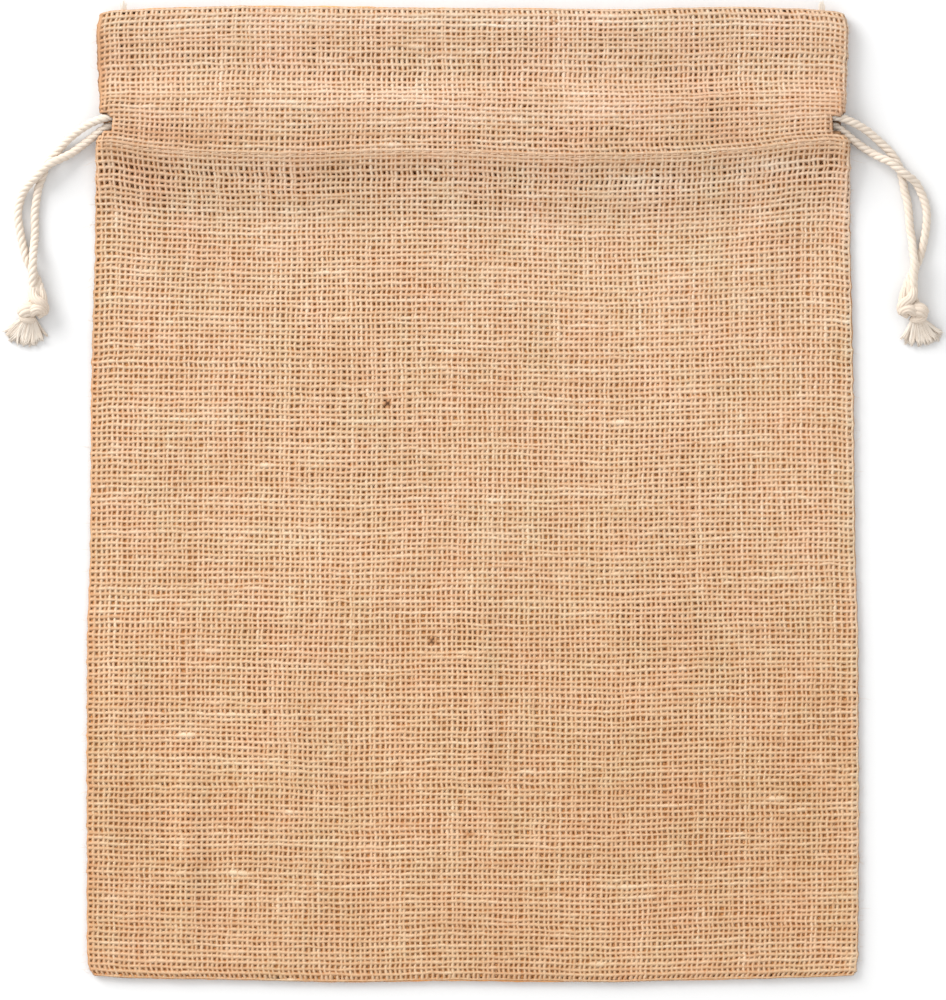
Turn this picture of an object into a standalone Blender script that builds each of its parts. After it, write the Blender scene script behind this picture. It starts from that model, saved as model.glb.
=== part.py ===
"""Flat burlap drawstring sack, laid face up.

The sack is one length of burlap: folded at the bottom, closed at the sides, and turned in at the
mouth to make a channel in the front and in the back. One cotton cord runs through each channel.
Beyond each side the two cords are tied together in an overhand knot and end in a frayed tassel.

Metres, +Z up, +Y towards the mouth. The origin is the middle of the outline, on the surface that
the sack lies on. Tables are in millimetres.
"""

import math

import bmesh
import bpy
from mathutils import Vector

MM = 0.001

# The sack's outline
HALF_HEIGHT = 158.2  # from the origin to the bottom fold and to the mouth
HALF_WIDTH = 122.0  # at the mouth, as a measure for how the rows sag
SAG_POWER = 2.5  # how flat the sag is in the middle
ACROSS = 18  # stretches between the points across one face

# The cloth and what lies between its layers
CLOTH = 1.0
LAYER_GAP = 0.35  # between the outer cloth and the hem behind it
MOUTH_GAP = 0.4  # between the front hem and the back hem
BODY_GAP = 0.5  # between front and back below the hems

# The hem and its channel, measured up the sack from the origin
HEM_EDGE = 109.5
HEM_RISE_FROM, HEM_RISE_TO = 101.0, 108.9  # where the front rises to lie over the hem
FOLD_START = 156.9  # here the mouth's fold starts to turn in
CHANNEL_TOP = 156.0  # inside of the fold
HUMP_MIDDLE, HUMP_FLAT, HUMP_SLOPE = 121.6, 3.9, 8.0

# The cords
CORD = 2.5  # diameter
CORD_STEP = 5.1  # between the points along a cord
CORD_CLEARANCE = 0.4
FRONT_CORD_UP, BACK_CORD_UP = 124.0, 119.2  # where they run, up the sack
CORD_SIDES = 2  # bevel resolution
FINE_STEPS = 12  # parts of the smooth curve between two route points
RUN_END = 112.0  # how far the straight run in the channel reaches to each side
HEM_SWELL = (1.3, 2.6)  # half width of the hems' rise over the back cord, and of its slope

# The openings at the sides, where the cords come out
SLIT_FROM, SLIT_TO = 114.6, 124.0
SLIT_LIP = 1.02  # height of the cloth left under the cords
NOTCH_FROM, NOTCH_TO = 117.0, 123.8
NOTCH_DEPTH = 3.4  # how far the front's edge stands back from the side
CUTTER_REACH = 5.0  # past the cloth

# Heights that follow from the layers
BACK_CORD_Z = CLOTH + CORD_CLEARANCE + CORD / 2
HEM_Z = CLOTH + LAYER_GAP  # underside of the back hem
HEM_PAIR = 2 * CLOTH + MOUTH_GAP  # both hems and the gap between them
HEM_LIFT = BACK_CORD_Z + CORD / 2 + LAYER_GAP - HEM_Z  # the back cord lifts both hems
FRONT_CORD_Z = HEM_Z + HEM_PAIR + CORD_CLEARANCE + CORD / 2
CHANNEL_Z = HEM_Z + HEM_PAIR + LAYER_GAP  # underside of the front over the hems
HUMP = FRONT_CORD_Z + CORD / 2 + LAYER_GAP - CHANNEL_Z

# The sides of the outline: height up the sack, left edge, right edge
SIDES = (
    (-158.2, -122.9, 122.9),
    (-156.1, -124.3, 124.3),
    (-150.9, -125.0, 124.8),
    (-131.5, -125.1, 125.0),
    (-66.7, -125.2, 125.0),
    (-47.3, -125.1, 124.9),
    (-34.3, -124.6, 124.4),
    (-21.4, -124.1, 123.9),
    (30.4, -123.8, 123.4),
    (62.8, -123.1, 122.8),
    (79.0, -122.5, 122.3),
    (111.4, -122.2, 122.2),
    (115.0, -120.9, 120.7),
    (127.6, -120.9, 120.7),
    (143.8, -121.8, 121.5),
    (153.5, -122.0, 121.7),
    (158.2, -120.4, 120.2),
)

# The mouth and the bottom: distance from the middle, how far the edge lies above (+) or below (-)
MOUTH = (
    (-121.0, -2.6),
    (-117.0, -1.6),
    (-95.0, -0.6),
    (-75.0, 0.0),
    (-40.0, -0.3),
    (0.0, -0.6),
    (50.0, -1.0),
    (88.0, -0.3),
    (106.0, -0.9),
    (117.0, -1.7),
    (121.0, -2.6),
)
BOTTOM = (
    (-124.0, 2.2),
    (-112.0, 1.5),
    (-69.0, 0.6),
    (-40.0, 0.0),
    (-8.0, 0.7),
    (45.0, 0.0),
    (73.0, 0.8),
    (106.0, 1.5),
    (124.0, 2.2),
)

# Where the cloth's surface has its turns of points, as heights up the sack
BODY_START, BODY_STEP, BODY_ROWS = -145.0, 17.0, 15
HEADER_ROWS = (99.0, 102.5, 106.0, 109.0, 112.0, 114.0, 116.0, 118.0, 121.6)
HEADER_ROWS += (125.2, 127.4, 129.6, 133.0, 142.0, 151.0)
HEM_ROWS = (112.0, 114.0, 115.4, 116.6, 117.7, 120.7, 121.8, 123.0, 124.4, 134.0, 146.0)
INSIDE_BOTTOM = -156.6

# The turn of the bottom fold: share of the full thickness, height up the sack
BOTTOM_TURN = ((0.35, -158.2), (0.8, -157.8), (1.0, -156.9))

# The turn of the mouth's fold: share of the way from the outside to the hem's inside, height
MOUTH_TURN = ((0.0, FOLD_START), (0.15, 157.85), (0.5, 158.2), (0.85, 157.85), (1.0, FOLD_START))

# How far the rows of the weave sag in the middle: height up the sack, sag
SAG = ((-60.0, 0.0), (60.0, 1.6), (100.0, 3.4), (112.0, 3.8), (121.0, 1.6), (140.0, 0.6), (158.2, 0.0))

# Soft ridges of the front: distance from the middle, height up the sack, half length up the sack,
# half width, height of the ridge
RIDGES = (
    (-93.0, -118.0, 52.0, 9.0, 0.8),
    (2.0, -60.0, 60.0, 8.0, 0.6),
    (97.0, 88.0, 22.0, 12.0, 0.6),
    (-112.0, -56.0, 24.0, 9.0, 0.5),
    (-40.0, 40.0, 70.0, 40.0, 0.5),
    (62.0, -20.0, 80.0, 36.0, 0.5),
    (-62.0, -70.0, 50.0, 22.0, 0.4),
)

# Free ends of the cords, from the channel to the knot: across, up the sack, height
FRONT_CORD_LEFT = (
    (-118.6, 122.25, 5.45),
    (-123.6, 120.2, 4.6),
    (-128.4, 116.8, 3.2),
    (-132.2, 113.5, 2.0),
    (-134.9, 110.4, 1.35),
    (-137.4, 107.7, 1.3),
    (-139.1, 103.4, 1.3),
    (-140.4, 99.8, 1.3),
    (-141.1, 96.3, 1.3),
    (-141.8, 90.9, 1.3),
    (-141.7, 85.5, 1.3),
    (-141.9, 81.8, 1.7),
    (-142.1, 78.6, 3.1),
    (-142.2, 75.4, 4.1),
    (-142.2, 72.6, 4.3),
    (-142.3, 69.6, 4.0),
    (-142.1, 66.6, 3.4),
    (-141.9, 64.7, 3.2),
)
BACK_CORD_LEFT = (
    (-118.8, 117.2, 2.65),
    (-122.3, 116.2, 2.5),
    (-126.0, 113.4, 1.9),
    (-129.7, 111.0, 1.9),
    (-132.9, 109.0, 3.1),
    (-135.9, 107.2, 4.1),
    (-138.4, 105.5, 4.3),
    (-141.0, 102.8, 3.95),
    (-143.6, 100.2, 2.5),
    (-145.5, 97.6, 1.6),
    (-146.9, 93.4, 1.3),
    (-147.2, 89.7, 1.3),
    (-146.6, 85.5, 1.3),
    (-146.0, 82.2, 1.3),
    (-145.3, 79.3, 1.3),
    (-144.1, 76.3, 1.3),
    (-142.7, 73.5, 1.3),
    (-141.1, 71.2, 1.3),
    (-139.6, 69.0, 1.35),
    (-138.7, 66.4, 2.0),
    (-138.4, 64.7, 2.6),
)
FRONT_CORD_RIGHT = (
    (118.2, 122.35, 5.45),
    (121.7, 120.8, 4.95),
    (125.3, 119.0, 3.9),
    (128.3, 116.8, 2.9),
    (131.2, 114.3, 2.0),
    (133.6, 112.1, 1.5),
    (135.6, 109.9, 1.3),
    (137.3, 107.2, 1.3),
    (138.3, 104.6, 1.3),
    (139.0, 101.6, 1.3),
    (139.7, 97.9, 1.3),
    (140.5, 95.0, 1.3),
    (141.0, 91.3, 1.3),
    (141.4, 86.0, 1.3),
    (142.0, 82.6, 1.5),
    (142.2, 79.2, 2.9),
    (142.6, 76.0, 4.0),
    (142.7, 73.1, 4.3),
    (142.5, 69.9, 4.0),
    (142.4, 66.5, 3.4),
    (142.3, 64.7, 3.2),
)
BACK_CORD_RIGHT = (
    (117.8, 117.3, 2.65),
    (120.9, 117.1, 2.6),
    (123.2, 115.0, 2.3),
    (125.9, 113.1, 1.8),
    (128.8, 111.1, 2.1),
    (131.6, 109.2, 3.3),
    (134.6, 107.5, 4.2),
    (137.1, 105.5, 4.35),
    (140.0, 103.3, 4.1),
    (143.1, 100.9, 2.4),
    (144.8, 97.9, 1.5),
    (146.0, 95.0, 1.3),
    (146.8, 91.3, 1.3),
    (146.6, 86.0, 1.3),
    (145.5, 80.1, 1.3),
    (144.6, 76.9, 1.3),
    (143.2, 74.0, 1.3),
    (141.5, 71.6, 1.3),
    (140.0, 69.6, 1.35),
    (138.9, 66.4, 2.0),
    (138.6, 64.7, 2.6),
)

# The knots' lobes on the left side: across, up the sack, height, radius across, up, and in height,
# turned by so many degrees. The right knot is their mirror image.
KNOT_LOBES = (
    (-140.4, 60.2, 2.95, 2.9, 3.9, 2.9, 8.0),
    (-144.4, 58.6, 2.75, 3.1, 2.9, 2.7, -35.0),
)
KNOT_ROUND, KNOT_RINGS = 16, 10

# The tassel's fan on the left side: where it starts under the knot, its reach, from one angle to
# another, measured from straight down
TASSEL_FROM = (-142.9, 57.5)
TASSEL_ROOT, TASSEL_REACH = 3.6, 9.6
TASSEL_ANGLES = (-62.0, 42.0)
TASSEL_LOCKS = 9
TASSEL_NOTCH = 0.86  # the reach between two locks, as a share of theirs
TASSEL_TAPER = 0.12  # by what share the outer locks are shorter
TASSEL_THICK = (2.9, 1.3)  # at the root and at the tips

CLOTH_COLOUR = (0.63, 0.41, 0.235, 1.0)
CORD_COLOUR = (0.83, 0.74, 0.62, 1.0)


def ease(amount):
    """0 up to 0, 1 from 1 on, and a soft step between."""
    amount = min(max(amount, 0.0), 1.0)
    return amount * amount * (3.0 - 2.0 * amount)


def along(table, at, column=1):
    """A column of a table at a value of its first column, in straight lines between the rows."""
    if at <= table[0][0]:
        return table[0][column]
    for lower, upper in zip(table, table[1:]):
        if at <= upper[0]:
            part = (at - lower[0]) / (upper[0] - lower[0])
            return lower[column] + (upper[column] - lower[column]) * part
    return table[-1][column]


def swell(distance, flat, slope):
    """1 within flat of a line, and a soft fall to 0 over slope beyond it."""
    return ease(1.0 - (abs(distance) - flat) / slope)


def relief(x, up):
    """How far the soft ridges lift the front of the body."""
    lift = 0.0
    for ridge_x, ridge_up, half_length, half_width, height in RIDGES:
        lift += height * swell(x - ridge_x, 0.0, half_width) * swell(up - ridge_up, 0.0, half_length)
    return lift


def hem_lift(up):
    """How far the back cord lifts the hems over it."""
    return HEM_LIFT * swell(up - BACK_CORD_UP, *HEM_SWELL)


def front_under(x, up):
    """Underside of the front's outer cloth."""
    body = CLOTH + BODY_GAP + relief(x, up)
    header = CHANNEL_Z + HUMP * swell(up - HUMP_MIDDLE, HUMP_FLAT, HUMP_SLOPE)
    part = ease((up - HEM_RISE_FROM) / (HEM_RISE_TO - HEM_RISE_FROM))
    return body + (header - body) * part


# Each skin of the cloth below gives four lengths: how far it lies inside the sides, how far its round
# at the sides reaches in, and its height at the back and at the front
def outer_skin(x, up):
    """The outside of the sack."""
    return 0.0, 1.3, 0.0, front_under(x, up) + CLOTH


def inner_skin(x, up):
    """The inside of the outer cloth."""
    return CLOTH, 0.35, CLOTH, front_under(x, up)


def hem_outside(_x, up):
    """The face of the turned-in hems that looks into the channels."""
    low = HEM_Z + hem_lift(up)
    return CLOTH + LAYER_GAP, 1.2, low, low + HEM_PAIR


def hem_inside(_x, up):
    """The face of the turned-in hems that looks into the sack."""
    low = HEM_Z + hem_lift(up) + CLOTH
    return 2 * CLOTH + LAYER_GAP, 0.2, low, low + MOUTH_GAP


def between(first, second, part):
    """A skin that lies part of the way from one skin to another, for the turn of a fold."""

    def skin(x, up):
        ends = zip(first(x, up), second(x, up))
        return tuple(a + (b - a) * part for a, b in ends)

    return skin


def pinched(skin, share):
    """A skin whose front and back draw together to a share of their distance."""

    def closer(x, up):
        inset, turn, low, high = skin(x, up)
        middle, half = (low + high) / 2, (high - low) / 2 * share
        return inset, turn, middle - half, middle + half

    return closer


def place(x, up):
    """Where a row of the weave lies, with the curve of the mouth, the bottom and the sag."""
    share = (up + HALF_HEIGHT) / (2 * HALF_HEIGHT)
    edge = along(BOTTOM, x) * (1 - share) + along(MOUTH, x) * share
    sag = along(SAG, up) * (1 - min(abs(x) / HALF_WIDTH, 1.0) ** SAG_POWER)
    return up + edge - sag


def ring_points(skin, up):
    """One turn round the sack: along the back to the right, and along the front to the left."""
    inset, turn, _, _ = skin(0.0, up)
    left, right = along(SIDES, up, 1) + inset, along(SIDES, up, 2) - inset
    flat_left, flat_right = left + turn, right - turn
    run = [flat_left + (flat_right - flat_left) * step / ACROSS for step in range(ACROSS + 1)]
    points = [(x, place(x, up), skin(x, up)[2]) for x in run]
    points += side_points(skin, right, -turn, up, 1)
    points += [(x, place(x, up), skin(x, up)[3]) for x in reversed(run)]
    points += side_points(skin, left, turn, up, -1)
    return points


def side_points(skin, edge, turn, up, way):
    """Three points of the round at a side, upwards on the right and downwards on the left."""
    _, _, low, high = skin(edge + turn, up)
    middle, half = (low + high) / 2, (high - low) / 2
    slant = math.sin(math.radians(45))
    corner = half - min(abs(turn), half) * (1 - slant)
    found = []
    for side in (-way, 0, way):
        x = edge + turn * (1 - slant) * abs(side)
        found.append((x, place(x, up), middle + corner * side))
    return found


def cloth_rings():
    """Every turn of the cloth's surface, from the bottom up the outside, in at the mouth and back down."""
    outer, inside = outer_skin, inner_skin
    body = [BODY_START + BODY_STEP * step for step in range(BODY_ROWS)]
    face = body + list(HEADER_ROWS)
    rings = [(pinched(outer, share), up) for share, up in BOTTOM_TURN]
    rings += [(outer, up) for up in face]
    rings += [(between(outer, hem_inside, part), up) for part, up in MOUTH_TURN]
    rings += [(hem_inside, up) for up in reversed(HEM_ROWS)]
    rings += [(hem_inside, HEM_EDGE), (hem_outside, HEM_EDGE)]
    rings += [(hem_outside, up) for up in HEM_ROWS]
    rings += [(hem_outside, CHANNEL_TOP - 1.0), (between(hem_outside, inside, 0.5), CHANNEL_TOP)]
    rings += [(inside, CHANNEL_TOP - 1.0)]
    rings += [(inside, up) for up in reversed(face)]
    rings += [(inside, INSIDE_BOTTOM)]
    return [ring_points(skin, up) for skin, up in rings]


def close_flat(mesh, ring):
    """Close a flattened ring by joining its front to its back."""
    right = ACROSS + 2  # the middle of the right side's round
    left = len(ring) - 2  # and of the left side's
    for step in range(-1, ACROSS + 1):
        far = 2 * right - step
        mesh.faces.new((ring[step], ring[step + 1], ring[far - 1], ring[far]))
    for middle in (right, left):
        mesh.faces.new((ring[middle - 1], ring[middle], ring[middle + 1]))


def finished(name, mesh, colour, roughness):
    """An object of a bmesh, with its normals out, its smooth shading and its own material."""
    bmesh.ops.recalc_face_normals(mesh, faces=mesh.faces[:])
    data = bpy.data.meshes.new(name)
    mesh.to_mesh(data)
    mesh.free()
    data.shade_smooth()
    data.set_sharp_from_angle(angle=math.radians(50))
    piece = bpy.data.objects.new(name, data)
    bpy.context.collection.objects.link(piece)
    data.materials.append(material(name, colour, roughness))
    return piece


def material(name, colour, roughness):
    made = bpy.data.materials.new(name)
    made.use_nodes = True
    shader = made.node_tree.nodes["Principled BSDF"]
    shader.inputs["Base Color"].default_value = colour
    shader.inputs["Roughness"].default_value = roughness
    shader.inputs["Metallic"].default_value = 0.0
    return made


def sack_cloth():
    """The burlap, one closed solid with its hems, and an opening at each side for the cords."""
    mesh = bmesh.new()
    rings = [[mesh.verts.new(Vector(point) * MM) for point in ring] for ring in cloth_rings()]
    for lower, upper in zip(rings, rings[1:]):
        for step in range(len(lower)):
            after = (step + 1) % len(lower)
            mesh.faces.new((lower[step], lower[after], upper[after], upper[step]))
    close_flat(mesh, rings[0])
    close_flat(mesh, rings[-1])
    cloth = finished("sack_cloth", mesh, CLOTH_COLOUR, 0.92)
    for side, way in (("left", -1), ("right", 1)):
        for cutter in opening_cutters(side, way):
            cut = cloth.modifiers.new(cutter.name, "BOOLEAN")
            cut.operation = "DIFFERENCE"
            cut.solver = "EXACT"
            cut.object = cutter
    return cloth


def opening_cutters(side, way):
    """What is cut from a side: its wall, and above the cords the edge of the front."""
    edge = along(SIDES, (SLIT_FROM + SLIT_TO) / 2, 1 if way < 0 else 2)
    wall = edge - way * (CLOTH + LAYER_GAP / 2)
    notch = edge - way * NOTCH_DEPTH
    out = edge + way * CUTTER_REACH
    shelf = CHANNEL_Z + HUMP - LAYER_GAP / 2
    top = shelf + CLOTH + CUTTER_REACH
    return (
        box_cutter(f"{side}_wall", (wall, SLIT_FROM, SLIT_LIP), (out, SLIT_TO, top)),
        box_cutter(f"{side}_notch", (notch, NOTCH_FROM, shelf), (out + way, NOTCH_TO, top + 1.0)),
    )


def box_cutter(name, corner, opposite):
    """A hidden box between two corners, for cutting."""
    mesh = bmesh.new()
    bmesh.ops.create_cube(mesh, size=1.0)
    middle = (Vector(corner) + Vector(opposite)) / 2
    for vert in mesh.verts:
        reach = [abs(b - a) * part for a, b, part in zip(corner, opposite, vert.co)]
        vert.co = (middle + Vector(reach)) * MM
    cutter = finished(name, mesh, CLOTH_COLOUR, 0.9)
    cutter.hide_render = True
    cutter.display_type = "WIRE"
    return cutter


def channel_run(up, z):
    """Route points of a cord inside its channel, from the left opening to the right one."""
    spans = [RUN_END * (step / 5 - 1) for step in range(11)]
    return [(x, place(x, up), z) for x in spans]


def smooth_route(points):
    """Points a step apart on a smooth curve through the route's own points."""
    knots = [Vector(point) for point in points]
    knots = [2 * knots[0] - knots[1]] + knots + [2 * knots[-1] - knots[-2]]
    fine = []
    for first, start, end, last in zip(knots, knots[1:], knots[2:], knots[3:]):
        for step in range(FINE_STEPS):
            part = step / FINE_STEPS
            bend = (2 * first - 5 * start + 4 * end - last) * part**2
            bend += (3 * start - first - 3 * end + last) * part**3
            fine.append((2 * start + (end - first) * part + bend) / 2)
    fine.append(knots[-2])
    total = sum((b - a).length for a, b in zip(fine, fine[1:]))
    count = round(total / CORD_STEP)
    found, gone, target = [fine[0]], 0.0, total / count
    for start, end in zip(fine, fine[1:]):
        length = (end - start).length
        while len(found) < count and gone + length >= target:
            found.append(start.lerp(end, (target - gone) / length))
            target += total / count
        gone += length
    found.append(fine[-1])
    return found


def cord(name, left_end, run, right_end):
    """One cotton cord, from the left knot through its channel to the right knot."""
    route = smooth_route(list(reversed(left_end)) + run + list(right_end))
    data = bpy.data.curves.new(name, "CURVE")
    data.dimensions = "3D"
    data.bevel_depth = CORD / 2 * MM
    data.bevel_resolution = CORD_SIDES
    data.use_fill_caps = True
    spline = data.splines.new("POLY")
    spline.points.add(len(route) - 1)
    for point, target in zip(route, spline.points):
        target.co = (*(point * MM), 1.0)
    spline.use_smooth = True
    piece = bpy.data.objects.new(name, data)
    bpy.context.collection.objects.link(piece)
    data.materials.append(material(name, CORD_COLOUR, 0.85))
    return piece


def knot(name, way):
    """An overhand knot of both cords, as its two lobes joined."""
    lobes = []
    for index, (x, up, z, across, along_sack, high, turned) in enumerate(KNOT_LOBES):
        mesh = bmesh.new()
        bmesh.ops.create_uvsphere(mesh, u_segments=KNOT_ROUND, v_segments=KNOT_RINGS, radius=1.0)
        angle = math.radians(turned)
        for vert in mesh.verts:
            side, length = vert.co.x * across, vert.co.y * along_sack
            new_x = side * math.cos(angle) - length * math.sin(angle)
            new_up = side * math.sin(angle) + length * math.cos(angle)
            vert.co = Vector((-way * (x + new_x), up + new_up, z + vert.co.z * high)) * MM
        lobe_name = name if index == 0 else f"{name}_lobe"
        lobes.append(finished(lobe_name, mesh, CORD_COLOUR, 0.85))
    joined, lobe = lobes
    union = joined.modifiers.new("second_lobe", "BOOLEAN")
    union.operation = "UNION"
    union.solver = "EXACT"
    union.object = lobe
    lobe.hide_render = True
    lobe.display_type = "WIRE"
    return joined


def tassel(name, way):
    """The frayed ends below a knot: a fan of locks, thick at the knot and thin at the tips."""
    start, end = TASSEL_ANGLES
    steps = 2 * TASSEL_LOCKS
    thick_root, thick_tip = TASSEL_THICK
    mesh = bmesh.new()
    rows = {"low": [], "high": []}
    for step in range(steps + 1):
        angle = math.radians(start + (end - start) * step / steps)
        edge = abs(2 * step / steps - 1)
        tip = TASSEL_REACH * (1.0 if step % 2 else TASSEL_NOTCH) * (1.0 - TASSEL_TAPER * edge**2)
        for side in ("low", "high"):
            line = []
            for reach in (TASSEL_ROOT, (TASSEL_ROOT + tip) / 2, tip):
                part = (reach - TASSEL_ROOT) / (tip - TASSEL_ROOT)
                thick = thick_root + (thick_tip - thick_root) * part
                x = TASSEL_FROM[0] + reach * math.sin(angle)
                up = TASSEL_FROM[1] - reach * math.cos(angle)
                z = 0.0 if side == "low" else thick
                line.append(mesh.verts.new(Vector((-way * x, up, z)) * MM))
            rows[side].append(line)
    for side, flip in (("low", False), ("high", True)):
        for first, second in zip(rows[side], rows[side][1:]):
            for near in range(2):
                corners = (first[near], first[near + 1], second[near + 1], second[near])
                mesh.faces.new(corners[::-1] if flip else corners)
    for low, high in ((rows["low"][0], rows["high"][0]), (rows["low"][-1], rows["high"][-1])):
        for near in range(2):
            mesh.faces.new((low[near], low[near + 1], high[near + 1], high[near]))
    for end_of_line in (0, 2):
        for step in range(steps):
            low, high = rows["low"], rows["high"]
            corners = (low[step][end_of_line], low[step + 1][end_of_line])
            mesh.faces.new((*corners, high[step + 1][end_of_line], high[step][end_of_line]))
    return finished(name, mesh, CORD_COLOUR, 0.9)


def build():
    for old in list(bpy.data.objects):
        bpy.data.objects.remove(old, do_unlink=True)
    sack_cloth()
    cord("front_cord", FRONT_CORD_LEFT, channel_run(FRONT_CORD_UP, FRONT_CORD_Z), FRONT_CORD_RIGHT)
    cord("back_cord", BACK_CORD_LEFT, channel_run(BACK_CORD_UP, BACK_CORD_Z), BACK_CORD_RIGHT)
    for side, way in (("left", -1), ("right", 1)):
        knot(f"{side}_knot", way)
        tassel(f"{side}_tassel", way)


build()
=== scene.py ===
"""Looks of the flat burlap drawstring sack: woven from single threads, with twisted cotton cords.

Lengths in the tables are millimetres, up the sack is +Y, out of its front is +Z. The shapes of the
cloth's layers repeat the solid's own functions, and the cords follow its routes nearly.
"""

import math

import bpy
import numpy as np
from bpy.props import FloatProperty, FloatVectorProperty, IntProperty, PointerProperty
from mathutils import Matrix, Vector


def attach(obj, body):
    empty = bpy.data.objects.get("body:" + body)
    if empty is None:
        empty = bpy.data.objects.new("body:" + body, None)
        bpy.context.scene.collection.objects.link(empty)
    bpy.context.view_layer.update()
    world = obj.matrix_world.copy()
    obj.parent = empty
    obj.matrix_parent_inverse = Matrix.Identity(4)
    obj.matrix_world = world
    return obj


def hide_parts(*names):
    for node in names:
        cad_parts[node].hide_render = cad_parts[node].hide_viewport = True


bl_info = {
    "name": "Burlap sack looks",
    "version": (1, 0, 0),
    "blender": (4, 5, 0),
    "location": "3D View > Sidebar > Sack",
    "description": "Weaves the burlap of a flat drawstring sack and lays its cotton cords",
    "category": "Object",
}

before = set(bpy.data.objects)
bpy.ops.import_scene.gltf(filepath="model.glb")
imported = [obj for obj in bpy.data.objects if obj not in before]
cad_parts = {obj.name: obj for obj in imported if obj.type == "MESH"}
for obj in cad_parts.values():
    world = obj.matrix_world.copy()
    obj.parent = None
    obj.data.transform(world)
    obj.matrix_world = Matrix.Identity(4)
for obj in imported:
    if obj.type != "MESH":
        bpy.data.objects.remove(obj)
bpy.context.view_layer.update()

MM = 0.001

# The sack's outline and layers, as the solid has them
HALF_HEIGHT = 158.2
CLOTH = 1.0
LAYER_GAP = 0.35
MOUTH_GAP = 0.4
BODY_GAP = 0.5
EDGE_INSET = 0.26
HEM_EDGE = 109.5
HEM_RISE_FROM, HEM_RISE_TO = 90.0, 108.9
HUMP_MIDDLE, HUMP_FLAT, HUMP_SLOPE = 121.6, 3.9, 13.0
CORD = 2.5
CORD_CLEARANCE = 0.4
FRONT_CORD_UP, BACK_CORD_UP = 124.0, 119.2
RUN_END = 107.0
HEM_SWELL = (1.3, 2.6)
SLIT_FROM, SLIT_TO = 115.8, 122.6
NOTCH_FROM, NOTCH_TO = 117.0, 122.4
NOTCH_DEPTH = 4.3
BACK_CORD_Z = CLOTH + CORD_CLEARANCE + CORD / 2
HEM_Z = CLOTH + LAYER_GAP
HEM_PAIR = 2 * CLOTH + MOUTH_GAP
HEM_LIFT = BACK_CORD_Z + CORD / 2 + LAYER_GAP - HEM_Z
FRONT_CORD_Z = HEM_Z + HEM_PAIR + CORD_CLEARANCE + CORD / 2
CHANNEL_Z = HEM_Z + HEM_PAIR + LAYER_GAP
HUMP = FRONT_CORD_Z + CORD / 2 + LAYER_GAP - CHANNEL_Z

# The sides of the outline: height up the sack, left edge, right edge
SIDES = np.array((
    (-158.2, -122.9, 122.9), (-156.1, -124.3, 124.3), (-150.9, -125, 124.8), (-131.5, -125.1, 125),
    (-66.7, -125.2, 125), (-47.3, -125.1, 124.9), (-34.3, -124.6, 124.4), (-21.4, -124.1, 123.9),
    (30.4, -123.8, 123.4), (62.8, -123.1, 122.8), (79, -122.5, 122.3), (111.4, -122.2, 122.2),
    (116, -122, 122), (118, -121, 120.8), (127.6, -120.9, 120.7), (143.8, -121.8, 121.5),
    (153.5, -122, 121.7), (158.2, -120.4, 120.2),
))

# The mouth and the bottom: distance from the middle, how far the edge lies above or below
MOUTH = np.array((
    (-121, -2.6), (-117, -1.6), (-95, -0.6), (-75, 0), (-40, -0.3), (0, -0.6), (50, -1), (88, -0.3),
    (106, -0.9), (117, -1.7), (121, -2.6),
))
BOTTOM = np.array((
    (-124, 2.2), (-112, 1.5), (-69, 0.6), (-40, 0), (-8, 0.7), (45, 0), (73, 0.8), (106, 1.5), (124, 2.2),
))

# How far the rows of the weave sag by their height up the sack, and their share of it across
SAG = np.array((
    (-60, 0), (40, 0.9), (70, 2), (90, 3.4), (104, 4.6), (116, 4.9), (122, 3.2), (129, 1.4), (142, 0.5),
    (158.2, 0),
))
SAG_ACROSS = np.array((
    (-122, 0), (-114, 0.27), (-106, 0.6), (-98, 0.79), (-90, 0.94), (-77, 1.1), (-57, 1.12), (-41, 0.95),
    (-17, 0.88), (0, 0.93), (16, 1.04), (33, 1.13), (49, 1.08), (73, 1.02), (90, 0.8), (98, 0.55),
    (106, 0.27), (114, 0.08), (122, 0),
))

# Soft ridges of the front: distance from the middle, height up the sack, half length up the sack,
# half width, height of the ridge
RIDGES = (
    (-93, -118, 52, 9, 0.8), (2, -60, 60, 8, 0.6), (97, 88, 22, 12, 0.6), (-112, -56, 24, 9, 0.5),
    (-40, 40, 70, 40, 0.5), (62, -20, 80, 36, 0.5), (-62, -70, 50, 22, 0.4),
)

# Distance from one crosswise thread to the next, by height up the sack
ROW_PITCH = np.array((
    (-158, 1.78), (-100, 1.86), (0, 1.85), (80, 1.94), (104, 1.98), (112, 2), (113.6, 1.32), (117.2, 1.32),
    (118.2, 1.42), (127, 1.42), (129.5, 1.45), (134, 1.5), (136, 1.88), (145, 1.88), (147, 1.6),
    (149.6, 1.6), (151, 1.75), (158.2, 1.7),
))

# The threads by height up the sack: how wide against the usual, and how much paler
FULLNESS = np.array((
    (-158, 1, 0), (90, 1, 0), (97, 0.96, 0), (104, 0.95, 0), (108, 0.95, 0.1), (111.8, 0.95, -0.1),
    (113.6, 1, -0.25), (116.8, 1, -0.2), (118.4, 0.98, -0.45), (120.4, 1, -0.45), (124, 1.07, -0.2),
    (127, 1.07, -0.3), (134, 1.07, -0.25), (136, 1.03, -0.3), (145, 1.03, -0.3), (147, 1.05, -0.1),
    (158.2, 1.07, -0.2),
))

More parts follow.
